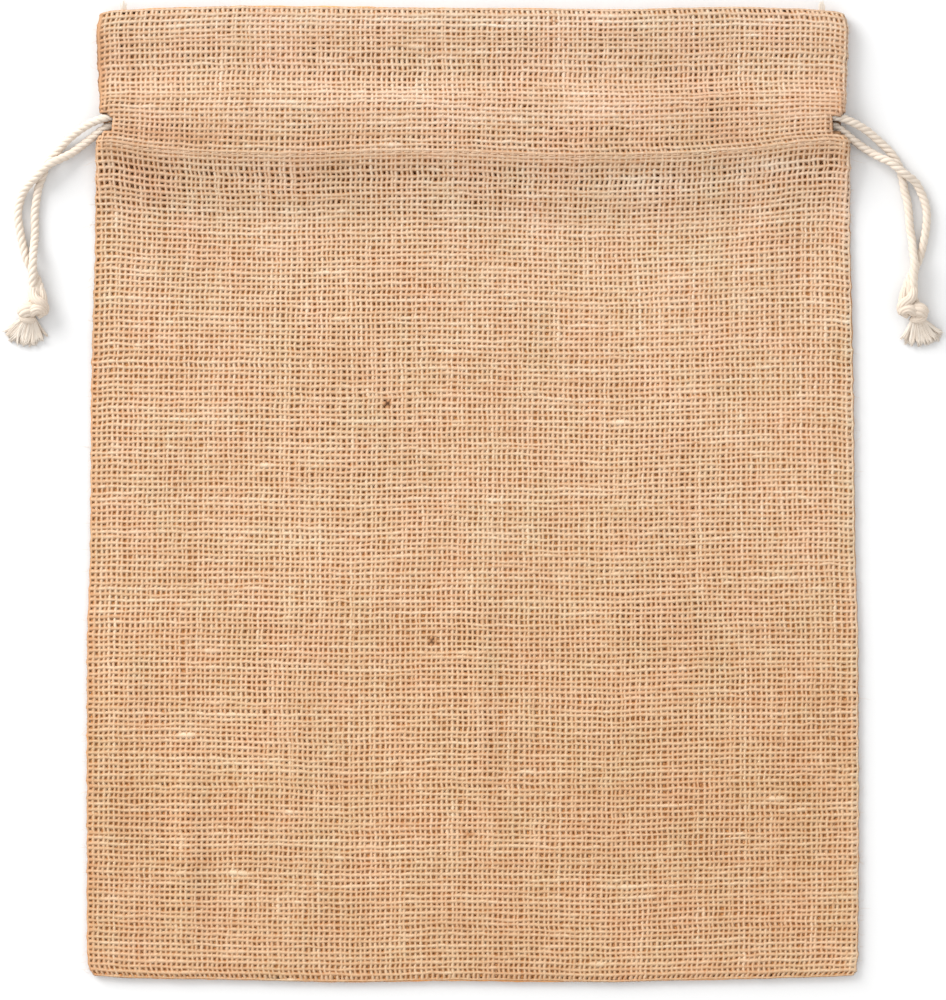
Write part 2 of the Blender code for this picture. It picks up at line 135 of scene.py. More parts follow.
# Fuller and paler, or thinner and darker patches of the front: across, up the sack, half width,
# half height, how much wider the threads are, how much paler. Part of the paleness is painted light:
# painted shade in some darker patches, round the openings and at the header's left edge, and painted
# highlight along the crests of two ridges; the rest is uneven tone and a few dark flecks
PATCHES = (
    (-122, 138, 6, 36, 0, -2.4), (-112, 140, 18, 9, 0, -0.5), (-104, 127, 30, 5, 0, -0.6),
    (85, 127, 48, 5, 0, -0.5), (-100, 114, 34, 8, 0, -0.5), (100, 114, 60, 6, 0, -0.3),
    (0, 147, 400, 3.5, -0.03, -0.3), (0, 153.5, 70, 4, 0.03, 0.35), (8, 121.8, 50, 3, 0.03, 0.4),
    (-98, 128, 18, 7, 0.06, 0.25), (-24, 128, 45, 8, 0.07, 0.45), (44, 126, 24, 8, 0.06, 0.35),
    (99, 128, 16, 6, 0.05, 0.25), (-42, 144, 18, 5, -0.06, -0.1), (18, 144, 9, 5, -0.08, -0.15),
    (-72, 128, 6, 11, -0.05, -0.3), (75, 125, 6, 13, -0.05, -0.3), (-82, 114, 19, 6, -0.05, -0.8),
    (-105, 102, 23, 12, -0.1, -0.6), (-50, 101, 23, 8, -0.07, -0.1), (38, 112, 26, 8, -0.06, -0.35),
    (75, 117, 15, 5, -0.03, -0.3), (106, 106, 16, 10, -0.05, -0.1), (-119, 122, 6, 10, -0.03, -0.5),
    (119, 122, 6, 10, -0.03, -0.5), (-111, -103, 13, 24, -0.05, -0.25), (106, -101, 15, 28, -0.04, -0.2),
    (28, 35, 23, 18, 0.03, 0.15), (-47, 11, 10, 6, 0.05, 0.2), (5, -15, 15, 7, 0.03, 0.25),
    (-94, -115, 4, 49, 0.1, 0.15), (-22, 1, 15, 14, -0.03, -0.12), (75, -23, 15, 10, -0.04, -0.12),
    (106, -8, 15, 5, -0.04, -0.25), (2, -63, 1, 49, 0.1, 0.6), (-112, 112, 14, 4, -0.03, -0.5),
    (-106, 117, 18, 4, -0.02, -0.4), (-100, 153, 26, 5, 0, -0.35), (62, 100, 34, 7, 0, 0.8),
    (95, 106, 25, 5, 0, 0.9), (-27.9, 28.8, 1.8, 1.3, 0, -11), (-13, -47.6, 1.6, 1.3, 0, -5.5),
    (-1.1, -109.4, 2.4, 1.4, 0, -7),
)

# Free ends of the cords, from the channel to the knot: across, up the sack, height
FRONT_CORD_LEFT = (
    (-113, 122.5, 5.5), (-118.6, 121.6, 5.45), (-123.6, 119.8, 4.6), (-128.4, 116.8, 3.2),
    (-132.2, 113.5, 2), (-134.9, 110.4, 1.35), (-137.4, 107.7, 1.3), (-139.1, 103.4, 1.3),
    (-140.4, 99.8, 1.3), (-141.1, 96.3, 1.3), (-141.8, 90.9, 1.3), (-141.7, 85.5, 1.3), (-141.9, 81.8, 1.7),
    (-142.1, 78.6, 3.1), (-142.2, 75.4, 4.1), (-142.2, 72.6, 4.3), (-142.3, 69.6, 4), (-142.1, 66.6, 3.4),
    (-141.9, 64.7, 3.2),
)
BACK_CORD_LEFT = (
    (-112.5, 117.9, 2.65), (-115, 118.7, 2.95), (-117.4, 118.9, 3.6), (-120.2, 117.5, 3.6),
    (-123, 115.4, 2.9), (-126.2, 113, 2.05), (-129.7, 110.4, 1.9), (-132.9, 108.6, 3.1),
    (-135.9, 107.2, 4.1), (-138.4, 105.5, 4.3), (-141, 102.8, 3.95), (-143.6, 100.2, 2.5),
    (-145.5, 97.6, 1.6), (-146.9, 93.4, 1.3), (-147.2, 89.7, 1.3), (-146.6, 85.5, 1.3), (-146, 82.2, 1.3),
    (-145.3, 79.3, 1.3), (-144.5, 76.3, 1.3), (-143.1, 73.5, 1.3), (-142, 71.2, 1.5), (-140.8, 69, 2),
    (-139.9, 66.4, 2.8), (-139.4, 64.7, 3.2),
)
FRONT_CORD_RIGHT = (
    (112.6, 122.5, 5.5), (118.2, 121.7, 5.45), (121.7, 120.5, 4.95), (125.3, 118.8, 3.9),
    (128.3, 116.8, 2.9), (131.2, 114.3, 2), (133.6, 112.1, 1.5), (135.6, 109.9, 1.3), (137.3, 107.2, 1.3),
    (138.3, 104.6, 1.3), (139, 101.6, 1.3), (139.7, 97.9, 1.3), (140.5, 95, 1.3), (141, 91.3, 1.3),
    (141.4, 86, 1.3), (142, 82.6, 1.5), (142.2, 79.2, 2.9), (142.6, 76, 4), (142.7, 73.1, 4.3),
    (142.5, 69.9, 4), (142.4, 66.5, 3.4), (142.3, 64.7, 3.2),
)
BACK_CORD_RIGHT = (
    (112.1, 117.9, 2.65), (114.6, 118.7, 2.95), (116.8, 118.9, 3.6), (119.3, 117.4, 3.6), (122, 115.3, 2.8),
    (125.7, 112.5, 2), (128.8, 110.5, 2.1), (131.6, 108.8, 3.3), (134.6, 107.5, 4.2), (137.1, 105.5, 4.35),
    (140, 103.3, 4.1), (143.1, 100.9, 2.4), (144.8, 97.9, 1.5), (146, 95, 1.3), (146.8, 91.3, 1.3),
    (146.6, 86, 1.3), (145.5, 80.1, 1.3), (144.6, 76.9, 1.3), (143.5, 74, 1.3), (142.1, 71.6, 1.5),
    (141, 69.4, 1.95), (139.9, 66.4, 2.8), (139.4, 64.7, 3.2),
)

# The knots' turns on the left side, each a short stretch of cord: how thick it is against the cord,
# and its route across, up the sack and in height
LEFT_KNOT_TURNS = {
    "neck_over_the_front": (1.2, (
        (-142.5, 67.2, 3.2), (-142.2, 64.6, 4.2), (-141.2, 62.9, 5.1), (-139.7, 61.9, 5.2),
        (-138.5, 60.7, 4.3), (-138.2, 59.2, 3),
    )),
    "front_bead": (1.3, (
        (-138.3, 58.8, 2.9), (-139.2, 59.6, 4.5), (-140.7, 59.9, 5.3), (-142.1, 59.3, 4.8),
        (-143.1, 58, 3.4),
    )),
    "round_the_left": (1.85, (
        (-141.4, 59.9, 3), (-143.2, 59.7, 3.8), (-144.8, 59.2, 3.9), (-145.9, 58.2, 3.2),
    )),
    "back_under_the_bead": (0.9, (
        (-146.3, 57.9, 3.4), (-145.2, 56.8, 3.8), (-143.4, 56.4, 3.8), (-141.7, 56.8, 3),
    )),
    "between_the_cords": (0.75, (
        (-141.7, 70.6, 2.3), (-141.2, 67.6, 3.2), (-140.9, 64.8, 3.8), (-141, 62, 3.6),
    )),
    "down_the_right": (1.1, (
        (-139.8, 66.6, 3), (-139.2, 64.1, 3.3), (-139, 61.5, 3.4), (-139.4, 58.9, 3.4),
        (-140.7, 57.5, 3),
    )),
    "behind": (1.1, (
        (-141.6, 66.4, 1.9), (-142.1, 63.8, 1.8), (-143.5, 60.6, 1.8), (-142.4, 57.3, 1.9),
    )),
    "binding": (0.35, (
        (-146.2, 57, 2.8), (-145.3, 56, 3.2), (-143.8, 55.6, 3.4), (-142.2, 55.9, 3.2),
        (-141.2, 56.6, 2.6),
    )),
}

# Cords: stations to a turn of the twist, how thick whole and frayed plies are against plies that
# just touch, where out from the middle a ply's crown begins and ends (nearer the middle a ply takes
# the painted shade between plies), and how their tones spread
STATIONS_A_TURN = 14
WHOLE_PLY, FRAYED_PLY = 1.2, 1.45
PLY_CROWN_FROM, PLY_CROWN_OVER = 0.45, 0.5
PLY_TONES = 0.15

# How a turn of a knot swells along its run
SWELLING_AT = (0, 0.15, 0.35, 0.65, 0.85, 1)
SWELLING = (0.7, 0.92, 1, 1, 0.92, 0.7)

# The tassels' fan on the left side: where it starts under the knot, and its reach by the angle from
# straight down
TASSEL_FROM = (-142.7, 58.4)
TASSEL = np.array(((-50, 11.5), (-38, 11), (-7, 10.8), (12, 10), (22, 9.4)))

# How unevenly the cloth is woven, each a list of noises with their strength and their cell, in
# threads across the sack and rows up it: threads off their place across, rows off their place up
WANDER = ((0.08, 1, 13), (0.14, 9, 17), (0.06, 1, 2))
LEAN = ((0.05, 12, 1), (0.1, 17, 7), (0.06, 2, 1))
SETTLES_WITHIN = 3.0

# How uneven a lengthwise thread is, in the same terms, and where its slubs and flecks begin
UNEVEN_WIDTH = ((0.04, 1, 400), (0.05, 1, 6), (0.09, 1, 1.2))
WIDTH_CLOUDS, WIDTH_PATCH = ((0.05, 9, 9),), 0.02
UNEVEN_TONE = ((0.22, 1, 400), (0.25, 1, 9), (0.25, 1, 1.6))
TONE_CLOUDS, TONE_PATCH = ((0.1, 10, 10),), 0.06
CLOTH_PATCH = ((1, 22, 22),)
SLUBS, SLUB_FROM, SLUB_WIDTH, SLUB_TONE = ((1, 1, 5),), 1.9, 0.4, 0.9
FLECKS, FLECK_FROM, FLECK_TONE = ((1, 1, 2),), 3.3, -5.0
THINNEST, THICKEST = 0.62, 1.6

# Threads at the folds and the sides: how far a fold reaches in by its thickness, how wide the
# outermost and the steep threads are, the painted highlight and shade of threads over and under a
# crossing, the painted light on the front's right side and shade on its left, the painted shade on
# its outermost lengthwise threads and on the back's and the hems' sides, and where the sides and the
# painted shade of the openings are read
FOLD_REACH, FOLD_SHARE = 0.47, 0.436
OUTERMOST_WIDTH, STEEP_WIDTH, STEEP_FROM = 0.55, 0.5, 0.4
OVER_PAINTED_LIGHT, SIDE_PAINTED_LIGHT_AND_SHADE, OUTERMOST_PAINTED_SHADE, UNSEEN_SIDE_PAINTED_SHADE = 0.12, 1.7, 0.5, 4.0
SLIT_SIDES_AT, SLIT_SHADE_AT = 119.3, (119.0, 118.6)

# Bits of bark left in the jute
BARK = (0.1, 0.045, 0.02, 1.0)

# Fibres of a thread: how fine round it and along it, and their twist
JUTE_STREAKS = (5.0, 1.2, 2.0)
COTTON_STREAKS = (7.0, 0.6, 1.6)
THREAD_APART = 7.31

# Painted shade: how dark threads are at their edges, and how much darker in the holes of the weave
JUTE_PAINTED_SHADE = (0.12, 1.7)
COTTON_PAINTED_SHADE = (0.6, 0.0)

# Where the shade of the weave's holes comes and goes: how fine, from which noise, how strongly
HOLE_SCALE, HOLE_FROM, HOLE_STRENGTH = 420.0, 0.3, 2.6

# What the streaks of a thread do: shade, paleness, roughness and bump
STREAK_SHADE, STREAK_TONE, STREAK_ROUGHNESS = 0.9, 1.2, 0.2
BUMP_STRENGTH, BUMP_DISTANCE = 0.35, 0.0001
BARK_FROM = 1.2

# Tints of the cloth: how fine their patches are, and the two colours between them
TINTS = (
    (70.0, (1.05, 0.965, 0.95, 1.0), (0.95, 1.03, 0.98, 1.0)),
    (24.0, (1.06, 1.06, 1.08, 1.0), (0.94, 0.93, 0.91, 1.0)),
)
TINT_UP_THE_SACK = (
    (0.0, (0.96, 0.92, 0.90)), (0.2, (0.97, 0.94, 0.92)), (0.4, (1.0, 1.0, 1.03)),
    (0.72, (1.0, 1.02, 1.09)), (0.9, (0.98, 1.03, 1.17)), (1.0, (0.99, 1.06, 1.22)),
)


def read(table, at, column=1):
    """A column of a table at values of its first column, in straight lines between the rows."""
    return np.interp(at, table[:, 0], table[:, column])


def ease(amount):
    """0 up to 0, 1 from 1 on, and a soft step between."""
    amount = np.clip(amount, 0.0, 1.0)
    return amount * amount * (3.0 - 2.0 * amount)


def swell(distance, flat, slope):
    """1 within flat of a line, and a soft fall to 0 over slope beyond it."""
    return ease(1.0 - (np.abs(distance) - flat) / slope)


def hem_lift(up):
    """How far the back cord lifts the hems over it."""
    return HEM_LIFT * swell(up - BACK_CORD_UP, *HEM_SWELL)


def front_under(x, up):
    """Underside of the front's outer cloth."""
    body = CLOTH + BODY_GAP
    for ridge_x, ridge_up, half_length, half_width, height in RIDGES:
        body = body + height * swell(x - ridge_x, 0.0, half_width) * swell(up - ridge_up, 0.0, half_length)
    header = CHANNEL_Z + HUMP * swell(up - HUMP_MIDDLE, HUMP_FLAT, HUMP_SLOPE)
    return body + (header - body) * ease((up - HEM_RISE_FROM) / (HEM_RISE_TO - HEM_RISE_FROM))


def place(x, up):
    """Where a row of the weave lies, with the curve of the mouth, the bottom and the sag."""
    share = (up + HALF_HEIGHT) / (2 * HALF_HEIGHT)
    edge = read(BOTTOM, x) * (1 - share) + read(MOUTH, x) * share
    return up + edge - read(SAG, up) * read(SAG_ACROSS, x)


def uneven_edge(up):
    """How far the rows of the weave stop short of the side by turns."""
    return 0.13 * math.sin(0.83 * up) + 0.1 * math.sin(2.1 * up + 1.3) + 0.08 * math.sin(4.7 * up + 0.4)


def outer_layer(x, up):
    """Middle heights of the back's and the front's outer cloth."""
    return CLOTH / 2 + 0.0 * x, front_under(x, up) + CLOTH / 2


def hem_layer(x, up):
    """Middle heights of the back's and the front's turned-in hem."""
    low = HEM_Z + CLOTH / 2 + hem_lift(up) + 0.0 * x
    high = low + CLOTH + MOUTH_GAP
    raised = front_under(x, up) - CLOTH * 0.62
    beside_cord = 1.0 - swell(up - FRONT_CORD_UP, 1.9, 2.2)
    return low, high + np.maximum(raised - high, 0.0) * beside_cord


def soft_noise(rng, rows, columns, row_cell, column_cell):
    """Random values about 0 that change smoothly over so many rows and columns."""
    coarse = rng.standard_normal((int(rows / row_cell) + 3, int(columns / column_cell) + 3))
    row, column = np.arange(rows) / row_cell, np.arange(columns) / column_cell
    r0, c0 = row.astype(int), column.astype(int)
    fr, fc = ease(row - r0)[:, None], ease(column - c0)[None, :]
    near = coarse[r0][:, c0] * (1 - fc) + coarse[r0][:, c0 + 1] * fc
    far = coarse[r0 + 1][:, c0] * (1 - fc) + coarse[r0 + 1][:, c0 + 1] * fc
    return near * (1 - fr) + far * fr


def smooth_route(points, step):
    """Points a step apart on a smooth curve through the route's own points."""
    ends = [Vector(point) for point in points]
    ends = [2 * ends[0] - ends[1]] + ends + [2 * ends[-1] - ends[-2]]
    fine = []
    for first, start, end, last in zip(ends, ends[1:], ends[2:], ends[3:]):
        for share in np.linspace(0.0, 1.0, 24, endpoint=False):
            bend = (2 * first - 5 * start + 4 * end - last) * share**2
            bend += (3 * start - first - 3 * end + last) * share**3
            fine.append((2 * start + (end - first) * share + bend) / 2)
    fine.append(ends[-2])
    fine = np.array(fine)
    gone = np.concatenate(([0.0], np.cumsum(np.linalg.norm(np.diff(fine, axis=0), axis=1))))
    wanted = np.linspace(0.0, gone[-1], max(int(gone[-1] / step) + 1, 4))
    return np.column_stack([np.interp(wanted, gone, fine[:, axis]) for axis in range(3)])


def run_length(line):
    """Length of a line through points."""
    return float(np.linalg.norm(np.diff(line, axis=0), axis=1).sum())


def thread_mesh(name, rings, shown, facts, look):
    """One object of many threads, closed at their ends.

    rings is threads x stations x points round x 3, in millimetres. shown is threads x stations and
    says where a thread is there. facts holds each point attribute, a value or a vector per point.
    """
    if inside_out(rings):
        rings, facts = rings[:, :, ::-1], {fact: values[:, :, ::-1] for fact, values in facts.items()}
    threads, stations, sides, _ = rings.shape
    number = np.arange(threads * stations * sides).reshape(threads, stations, sides)
    joined = shown[:, :-1] & shown[:, 1:]
    after = np.roll(number, -1, axis=2)
    quads = np.stack((number[:, :-1], after[:, :-1], after[:, 1:], number[:, 1:]), axis=-1)
    quads = quads[joined]
    thread_of, station_of = np.nonzero(joined)
    quads = quads.reshape(-1, 4)
    gap = np.zeros((threads, 1), bool)
    before, behind = np.hstack((gap, joined)), np.hstack((joined, gap))
    first, last = shown & behind & ~before, shown & before & ~behind
    caps = np.vstack((number[first][:, ::-1], number[last]))
    used = np.unique(np.concatenate((quads.ravel(), caps.ravel())))
    packed = np.full(number.size, -1)
    packed[used] = np.arange(len(used))
    mesh = bpy.data.meshes.new(name)
    points = rings.reshape(-1, 3)[used] * MM
    mesh.from_pydata(points.tolist(), [], packed[quads].tolist() + packed[caps].tolist())
    add_strips(mesh, thread_of, station_of, (threads, stations, sides), len(caps))
    for fact, values in facts.items():
        flat = np.ascontiguousarray(values.reshape(number.size, -1)[used], dtype=np.float32)
        kind, slot = ("FLOAT", "value") if flat.shape[1] == 1 else ("FLOAT_VECTOR", "vector")
        mesh.attributes.new(fact, kind, "POINT").data.foreach_set(slot, flat.ravel())
    mesh.shade_smooth()
    piece = bpy.data.objects.new(name, mesh)
    bpy.context.collection.objects.link(piece)
    mesh.materials.append(look)
    return piece


def point_facts(rings, tone, crossing, run, which, crowned, around):
    """Attributes of the points of rings, from four tables of threads x stations and two of points."""
    parts = [values[..., None] for values in (tone, crossing, run, which)] + [crowned, around]
    tone, crossing, run, which, crowned, around = (np.broadcast_to(part, rings.shape[:3]) for part in parts)
    thread = np.stack((around, run, which), axis=-1)
    return {"tone": tone, "crossing": crossing, "crowned": crowned, "thread": thread}


def inside_out(rings):
    """Whether the faces round the threads would point inwards."""
    here, ahead = rings[:, :-1], rings[:, 1:]
    outward = np.cross(np.roll(here, -1, axis=2) - here, ahead - here)
    from_middle = here - here.mean(axis=2, keepdims=True)
    return float((outward * from_middle).sum()) < 0


def add_strips(mesh, thread_of, station_of, counts, caps):
    """A map in which each thread is a strip of its own, as wide as the thread count allows."""
    threads, stations, sides = counts
    margin, foot, length = 0.12, 0.01, 0.98
    side = np.tile(np.arange(sides), len(thread_of))
    left = np.repeat(thread_of, sides) + margin + (1 - 2 * margin) * side / sides
    right = left + (1 - 2 * margin) / sides
    low = foot + length * np.repeat(station_of, sides) / (stations - 1)
    high = low + length / (stations - 1)
    across = np.stack((left, right, right, left), axis=-1) / threads
    along = np.stack((low, low, high, high), axis=-1)
    corner = np.arange(caps * sides) % sides * 2 * math.pi / sides
    cap_at = np.repeat(np.arange(caps) / max(caps, 1), sides)
    cap_u = np.clip(cap_at + 0.0005 * np.cos(corner), 0, 1)
    cap_v = 0.004 + 0.003 * np.sin(corner)
    strips = np.column_stack((np.append(across.ravel(), cap_u), np.append(along.ravel(), cap_v)))
    mesh.uv_layers.new(name="OFBake").uv.foreach_set("vector", strips.astype(np.float32).ravel())


def unit(vectors):
    return vectors / np.maximum(np.linalg.norm(vectors, axis=-1, keepdims=True), 1e-9)


def directions(points, axis):
    """Directions along the rows or the columns, and where the cloth turns, those of its flat side."""
    along, step = np.gradient(points, axis=axis), np.diff(points, axis=axis)
    for stations in (slice(0, 3), slice(-3, None)):
        turn = (slice(None),) * axis + (stations,)
        along[turn] = step[turn]
    return unit(along)


def from_ends(count):
    """How many steps each of so many places in a row is from the nearer end."""
    return np.minimum(np.arange(count), np.arange(count)[::-1])


class Weave:
    """The crossings of one layer of the cloth, with the ends at its folds as first and last."""

    def __init__(self, layer, side, inset, rows, seed, belly, breadth=1.0, patched=False):
        self.side, self.belly, self.breadth, self.patched = side, belly, breadth, patched
        self.rng, self.settings = np.random.default_rng(seed), bpy.context.scene.sack_cloth
        ups, pinch, shift, usual = rows
        across, unevenness = self.settings.lengthwise, self.settings.unevenness
        shares = np.concatenate(([0.0], (np.arange(across) + 0.5) / across, [1.0]))
        self.size = size = (across + 2, len(ups))
        wander, lean = self.noises(WANDER), self.noises(LEAN)
        wander[[0, -1]] = lean[:, [0, -1]] = 0.0
        wander *= np.minimum(from_ends(size[0]) / SETTLES_WITHIN, 1.0)[:, None] * unevenness
        x, rise = np.zeros(size), np.zeros(size)
        for row, up in enumerate(ups):
            x[:, row], rise[:, row] = self.across_row(layer, up, inset, shares + wander[:, row] / across)
        up = ups + lean * usual * unevenness
        low, high = layer(x, up)
        z = (low + high) / 2 + side * ((high - low) / 2 * rise * pinch + shift)
        self.x, self.up, self.points = x, up, np.stack((x, place(x, up), z), axis=-1)
        self.along = directions(self.points, 0), directions(self.points, 1)
        self.normals = unit(np.cross(*self.along)) * side
        self.parity = 1.0 - 2.0 * (np.add.outer(np.arange(size[0]), np.arange(size[1])) % 2)
        self.parity[[0, -1]] = self.parity[:, [0, -1]] = 0.0
        self.shown = np.ones(size, bool)

    def noises(self, layers, turned=False):
        """The noises of a list added up, with their cells turned for crosswise threads."""
        step = -1 if turned else 1
        return sum(share * soft_noise(self.rng, *self.size, *cell[::step]) for share, *cell in layers)

    @staticmethod
    def across_row(layer, up, inset, shares):
        """Where points lie along a row, and how far each has risen round the side to the face."""
        left = read(SIDES, up, 1) + inset + uneven_edge(up)
        right = read(SIDES, up, 2) - inset - uneven_edge(up + 50.0)
        edge_low, edge_high = layer(np.array([left, right]), up)
        reach_left, reach_right = FOLD_REACH + FOLD_SHARE * ((edge_high - edge_low) / 2)
        flat = np.linspace(left + reach_left, right - reach_right, 90)[1:-1]
        turn = np.linspace(0.0, math.pi / 2, 10)
        turned_in, risen = 1 - np.cos(turn), np.sin(turn)
        x = np.concatenate((left + reach_left * turned_in, flat, right - reach_right * turned_in[::-1]))
        rise = np.concatenate((risen, np.ones(len(flat)), risen[::-1]))
        low, high = layer(x, up)
        z = (high - low) / 2 * rise
        gone = np.concatenate(([0.0], np.cumsum(np.hypot(np.diff(x), np.diff(z)))))
        wanted = shares * gone[-1]
        return np.interp(wanted, gone, x), np.interp(wanted, gone, rise)

    def open_slit(self, notched):
        """Leave out what the openings at the sides leave out, and the notch over them if asked to."""
        height = self.points[..., 1]
        edge = np.where(self.x < 0, -read(SIDES, SLIT_SIDES_AT, 1), read(SIDES, SLIT_SIDES_AT, 2))
        inside = edge - np.abs(self.x)
        wall = (height > SLIT_FROM) & (height < SLIT_TO) & (inside < CLOTH + LAYER_GAP / 2)
        wall &= (self.points[..., 2] > 1.15) | (self.side > 0)
        notch = (height > NOTCH_FROM) & (height < NOTCH_TO) & (inside < NOTCH_DEPTH)
        self.shown &= ~(wall | (notch & notched))

    def threads(self, crosswise):
        """Rings, where they show, and point attributes of the crosswise or lengthwise threads."""
        way, across = (1, self.along[1]) if crosswise else (-1, self.along[0])
        over, level = -way * self.parity, way * self.settings.lift / MM
        usual = self.settings.crosswise_width if crosswise else self.settings.lengthwise_width
        width, tone = self.unevenly(crosswise)
        width = width * usual / MM * read(FULLNESS, self.up) * self.breadth
        # Paler by height up the sack, with a painted highlight where a thread lies over a crossing and
        # painted shade where it lies under
        tone = tone + read(FULLNESS, self.up, 2) + OVER_PAINTED_LIGHT * over
        from_side, from_fold = from_ends(self.size[0])[:, None], from_ends(self.size[1])
        at_side = np.clip(1.0 - from_side / 2.0, 0.0, 1.0)
        if self.patched:
            for at_x, at_y, half_x, half_y, fuller, paler in PATCHES:
                share = self.near(at_x, at_y, half_x, half_y)
                width, tone = width + fuller * share, tone + paler * share
            near_side = np.clip(1.0 - from_side / SETTLES_WITHIN, 0.0, 1.0)
            # Painted light near the front's right side, painted shade near its left side
            tone = tone + SIDE_PAINTED_LIGHT_AND_SHADE * np.sign(self.x) * near_side
            # Painted shade on the front's outermost lengthwise threads
            tone = tone - (0.0 if crosswise else OUTERMOST_PAINTED_SHADE) * at_side
        else:
            # Painted shade at the sides of the back and the hems, and round the openings
            beside, up = SLIT_SHADE_AT
            painted_shade_at_slit = swell(self.points[..., 1] - up, 4.0, 3.0) * swell(np.abs(self.x) - beside, 3.0, 6.0)
            tone = tone - UNSEEN_SIDE_PAINTED_SHADE * np.maximum(at_side, painted_shade_at_slit)
        outermost = (from_fold if crosswise else from_side) <= 1
        steep = np.clip((np.abs(across[..., 2]) - STEEP_FROM) / STEEP_FROM, 0.0, 1.0)
        width = width * np.minimum(np.where(outermost, OUTERMOST_WIDTH, 1.0), 1.0 - STEEP_WIDTH * steep)
        wave, crown = self.settings.wave / MM, self.settings.crown / MM
        base = self.points + self.normals * (level + over * wave)[..., None]
        half, foot = across * width[..., None] / 2, base - self.normals * self.belly
        rings = np.stack((foot - half, foot + half, base + self.normals * crown), axis=2)
        column, row = np.indices(self.size, float)
        which, crossing, run = (row, column, self.x) if crosswise else (column, row, self.up)
        parts = (rings, self.shown, tone, crossing, run, which)
        if crosswise:
            parts = (values.swapaxes(0, 1) for values in parts)
        rings, shown, *values = (values[1:-1] for values in parts)
        return rings, shown, point_facts(rings, *values, crowned=(0, 0, 1), around=(0, 1, 0.5))

    def near(self, x, up, half_width, half_height):
        """1 at a place of the layer, with a soft fall to 0 so far from it."""
        across = swell(self.points[..., 0] - x, 0.0, half_width)
        return across * swell(self.points[..., 1] - up, 0.0, half_height)

    def unevenly(self, crosswise):
        """How wide each thread is along its run against the usual width, and how pale or dark."""
        slub = np.maximum(self.noises(SLUBS, crosswise) - SLUB_FROM, 0.0)
        patch = self.noises(CLOTH_PATCH)
        width = self.noises(UNEVEN_WIDTH, crosswise)
        width += self.noises(WIDTH_CLOUDS) + WIDTH_PATCH * patch
        tone = self.noises(UNEVEN_TONE, crosswise)
        tone += self.noises(TONE_CLOUDS) + TONE_PATCH * patch
        fleck = np.maximum(self.noises(FLECKS, crosswise) - FLECK_FROM, 0.0)
        width = np.clip(1.0 + width + SLUB_WIDTH * slub, THINNEST, THICKEST)
        return width, tone + SLUB_TONE * slub + FLECK_TONE * fleck


def face_rows():
    """Rows of an outer layer from the bottom fold to the mouth fold: height, share of the
    thickness, shift towards the hem, and distance to the next row."""
    low_turn, high_turn = (CLOTH + BODY_GAP) / 2, (CLOTH + LAYER_GAP) / 2
    bottom, top = -HALF_HEIGHT + EDGE_INSET, HALF_HEIGHT - CLOTH / 2
    low_arc, high_arc = low_turn * math.pi / 2, high_turn * math.pi / 2
    straight = (top - high_turn) - (bottom + low_turn)
    run = spaced_rows(low_arc + straight + high_arc, lambda gone: bottom + low_turn + gone - low_arc)
    start, end = np.minimum(run / low_turn, math.pi / 2), (run - low_arc - straight) / high_turn
    end = np.clip(end, 0.0, math.pi / 2)
    up = bottom + low_turn * (1 - np.cos(start)) + np.clip(run - low_arc, 0.0, straight)
    up += high_turn * np.sin(end)
    return up, np.sin(start), -high_turn * (1 - np.cos(end)), np.gradient(up)


def hem_rows():
    """Rows of a hem from the mouth fold down to its edge, in the same terms."""
    turn = (CLOTH + LAYER_GAP) / 2
    top = HALF_HEIGHT - CLOTH / 2
    arc = turn * math.pi / 2
    run = spaced_rows(arc + top - turn - HEM_EDGE, lambda gone: top - turn + arc - gone)
    start = np.minimum(run / turn, math.pi / 2)
    up = top - turn * (1 - np.cos(start)) - np.maximum(run - arc, 0.0)
    return up, np.ones(len(up)), turn * (1 - np.sin(start)), np.abs(np.gradient(up))


def spaced_rows(length, height_at):
    """Distances along a layer at which its rows lie, with both ends."""
    fine = np.linspace(0.0, length, 4000)
    rows = np.cumsum(1.0 / read(ROW_PITCH, height_at(fine))) * (fine[1] - fine[0])
    count = round(rows[-1])
    middle = np.interp((np.arange(count) + 0.5) / count * rows[-1], rows, fine)
    return np.concatenate(([0.0], middle, [length]))


def sideways(lines):
    """Directions across lines and away from the floor. None of the lines stands upright."""
    tangent = unit(np.gradient(lines, axis=-2))
    across = unit(np.cross(tangent, (0.0, 0.0, 1.0)))
    return across, np.cross(across, tangent)


def tube_rings(lines, radii, sides):
    """Rings of round threads about lines, threads x stations x 3."""
    across, upward = sideways(lines)
    angle = np.arange(sides) * 2 * math.pi / sides
    spread = across[:, :, None] * np.cos(angle)[:, None] + upward[:, :, None] * np.sin(angle)[:, None]
    return lines[:, :, None] + spread * radii[:, :, None, None]


def round_threads(name, lines, radii, sides, tone, look, crowned=1.0):
    """One object of round threads about lines. tone is one value a thread, crowned one a point."""
    rings = tube_rings(lines, radii, sides)
    threads, stations = lines.shape[:2]
    run = np.cumsum(np.linalg.norm(np.diff(lines, axis=1), axis=2), axis=1)
    run = np.hstack((np.zeros((threads, 1)), run))
    around = np.abs(np.linspace(-1, 1, sides, endpoint=False))
    which = np.arange(threads, dtype=float)[:, None]
    facts = point_facts(rings, tone[:, None], np.zeros((1, 1)), run, which, crowned, around)
    return thread_mesh(name, rings, np.ones((threads, stations), bool), facts, look)


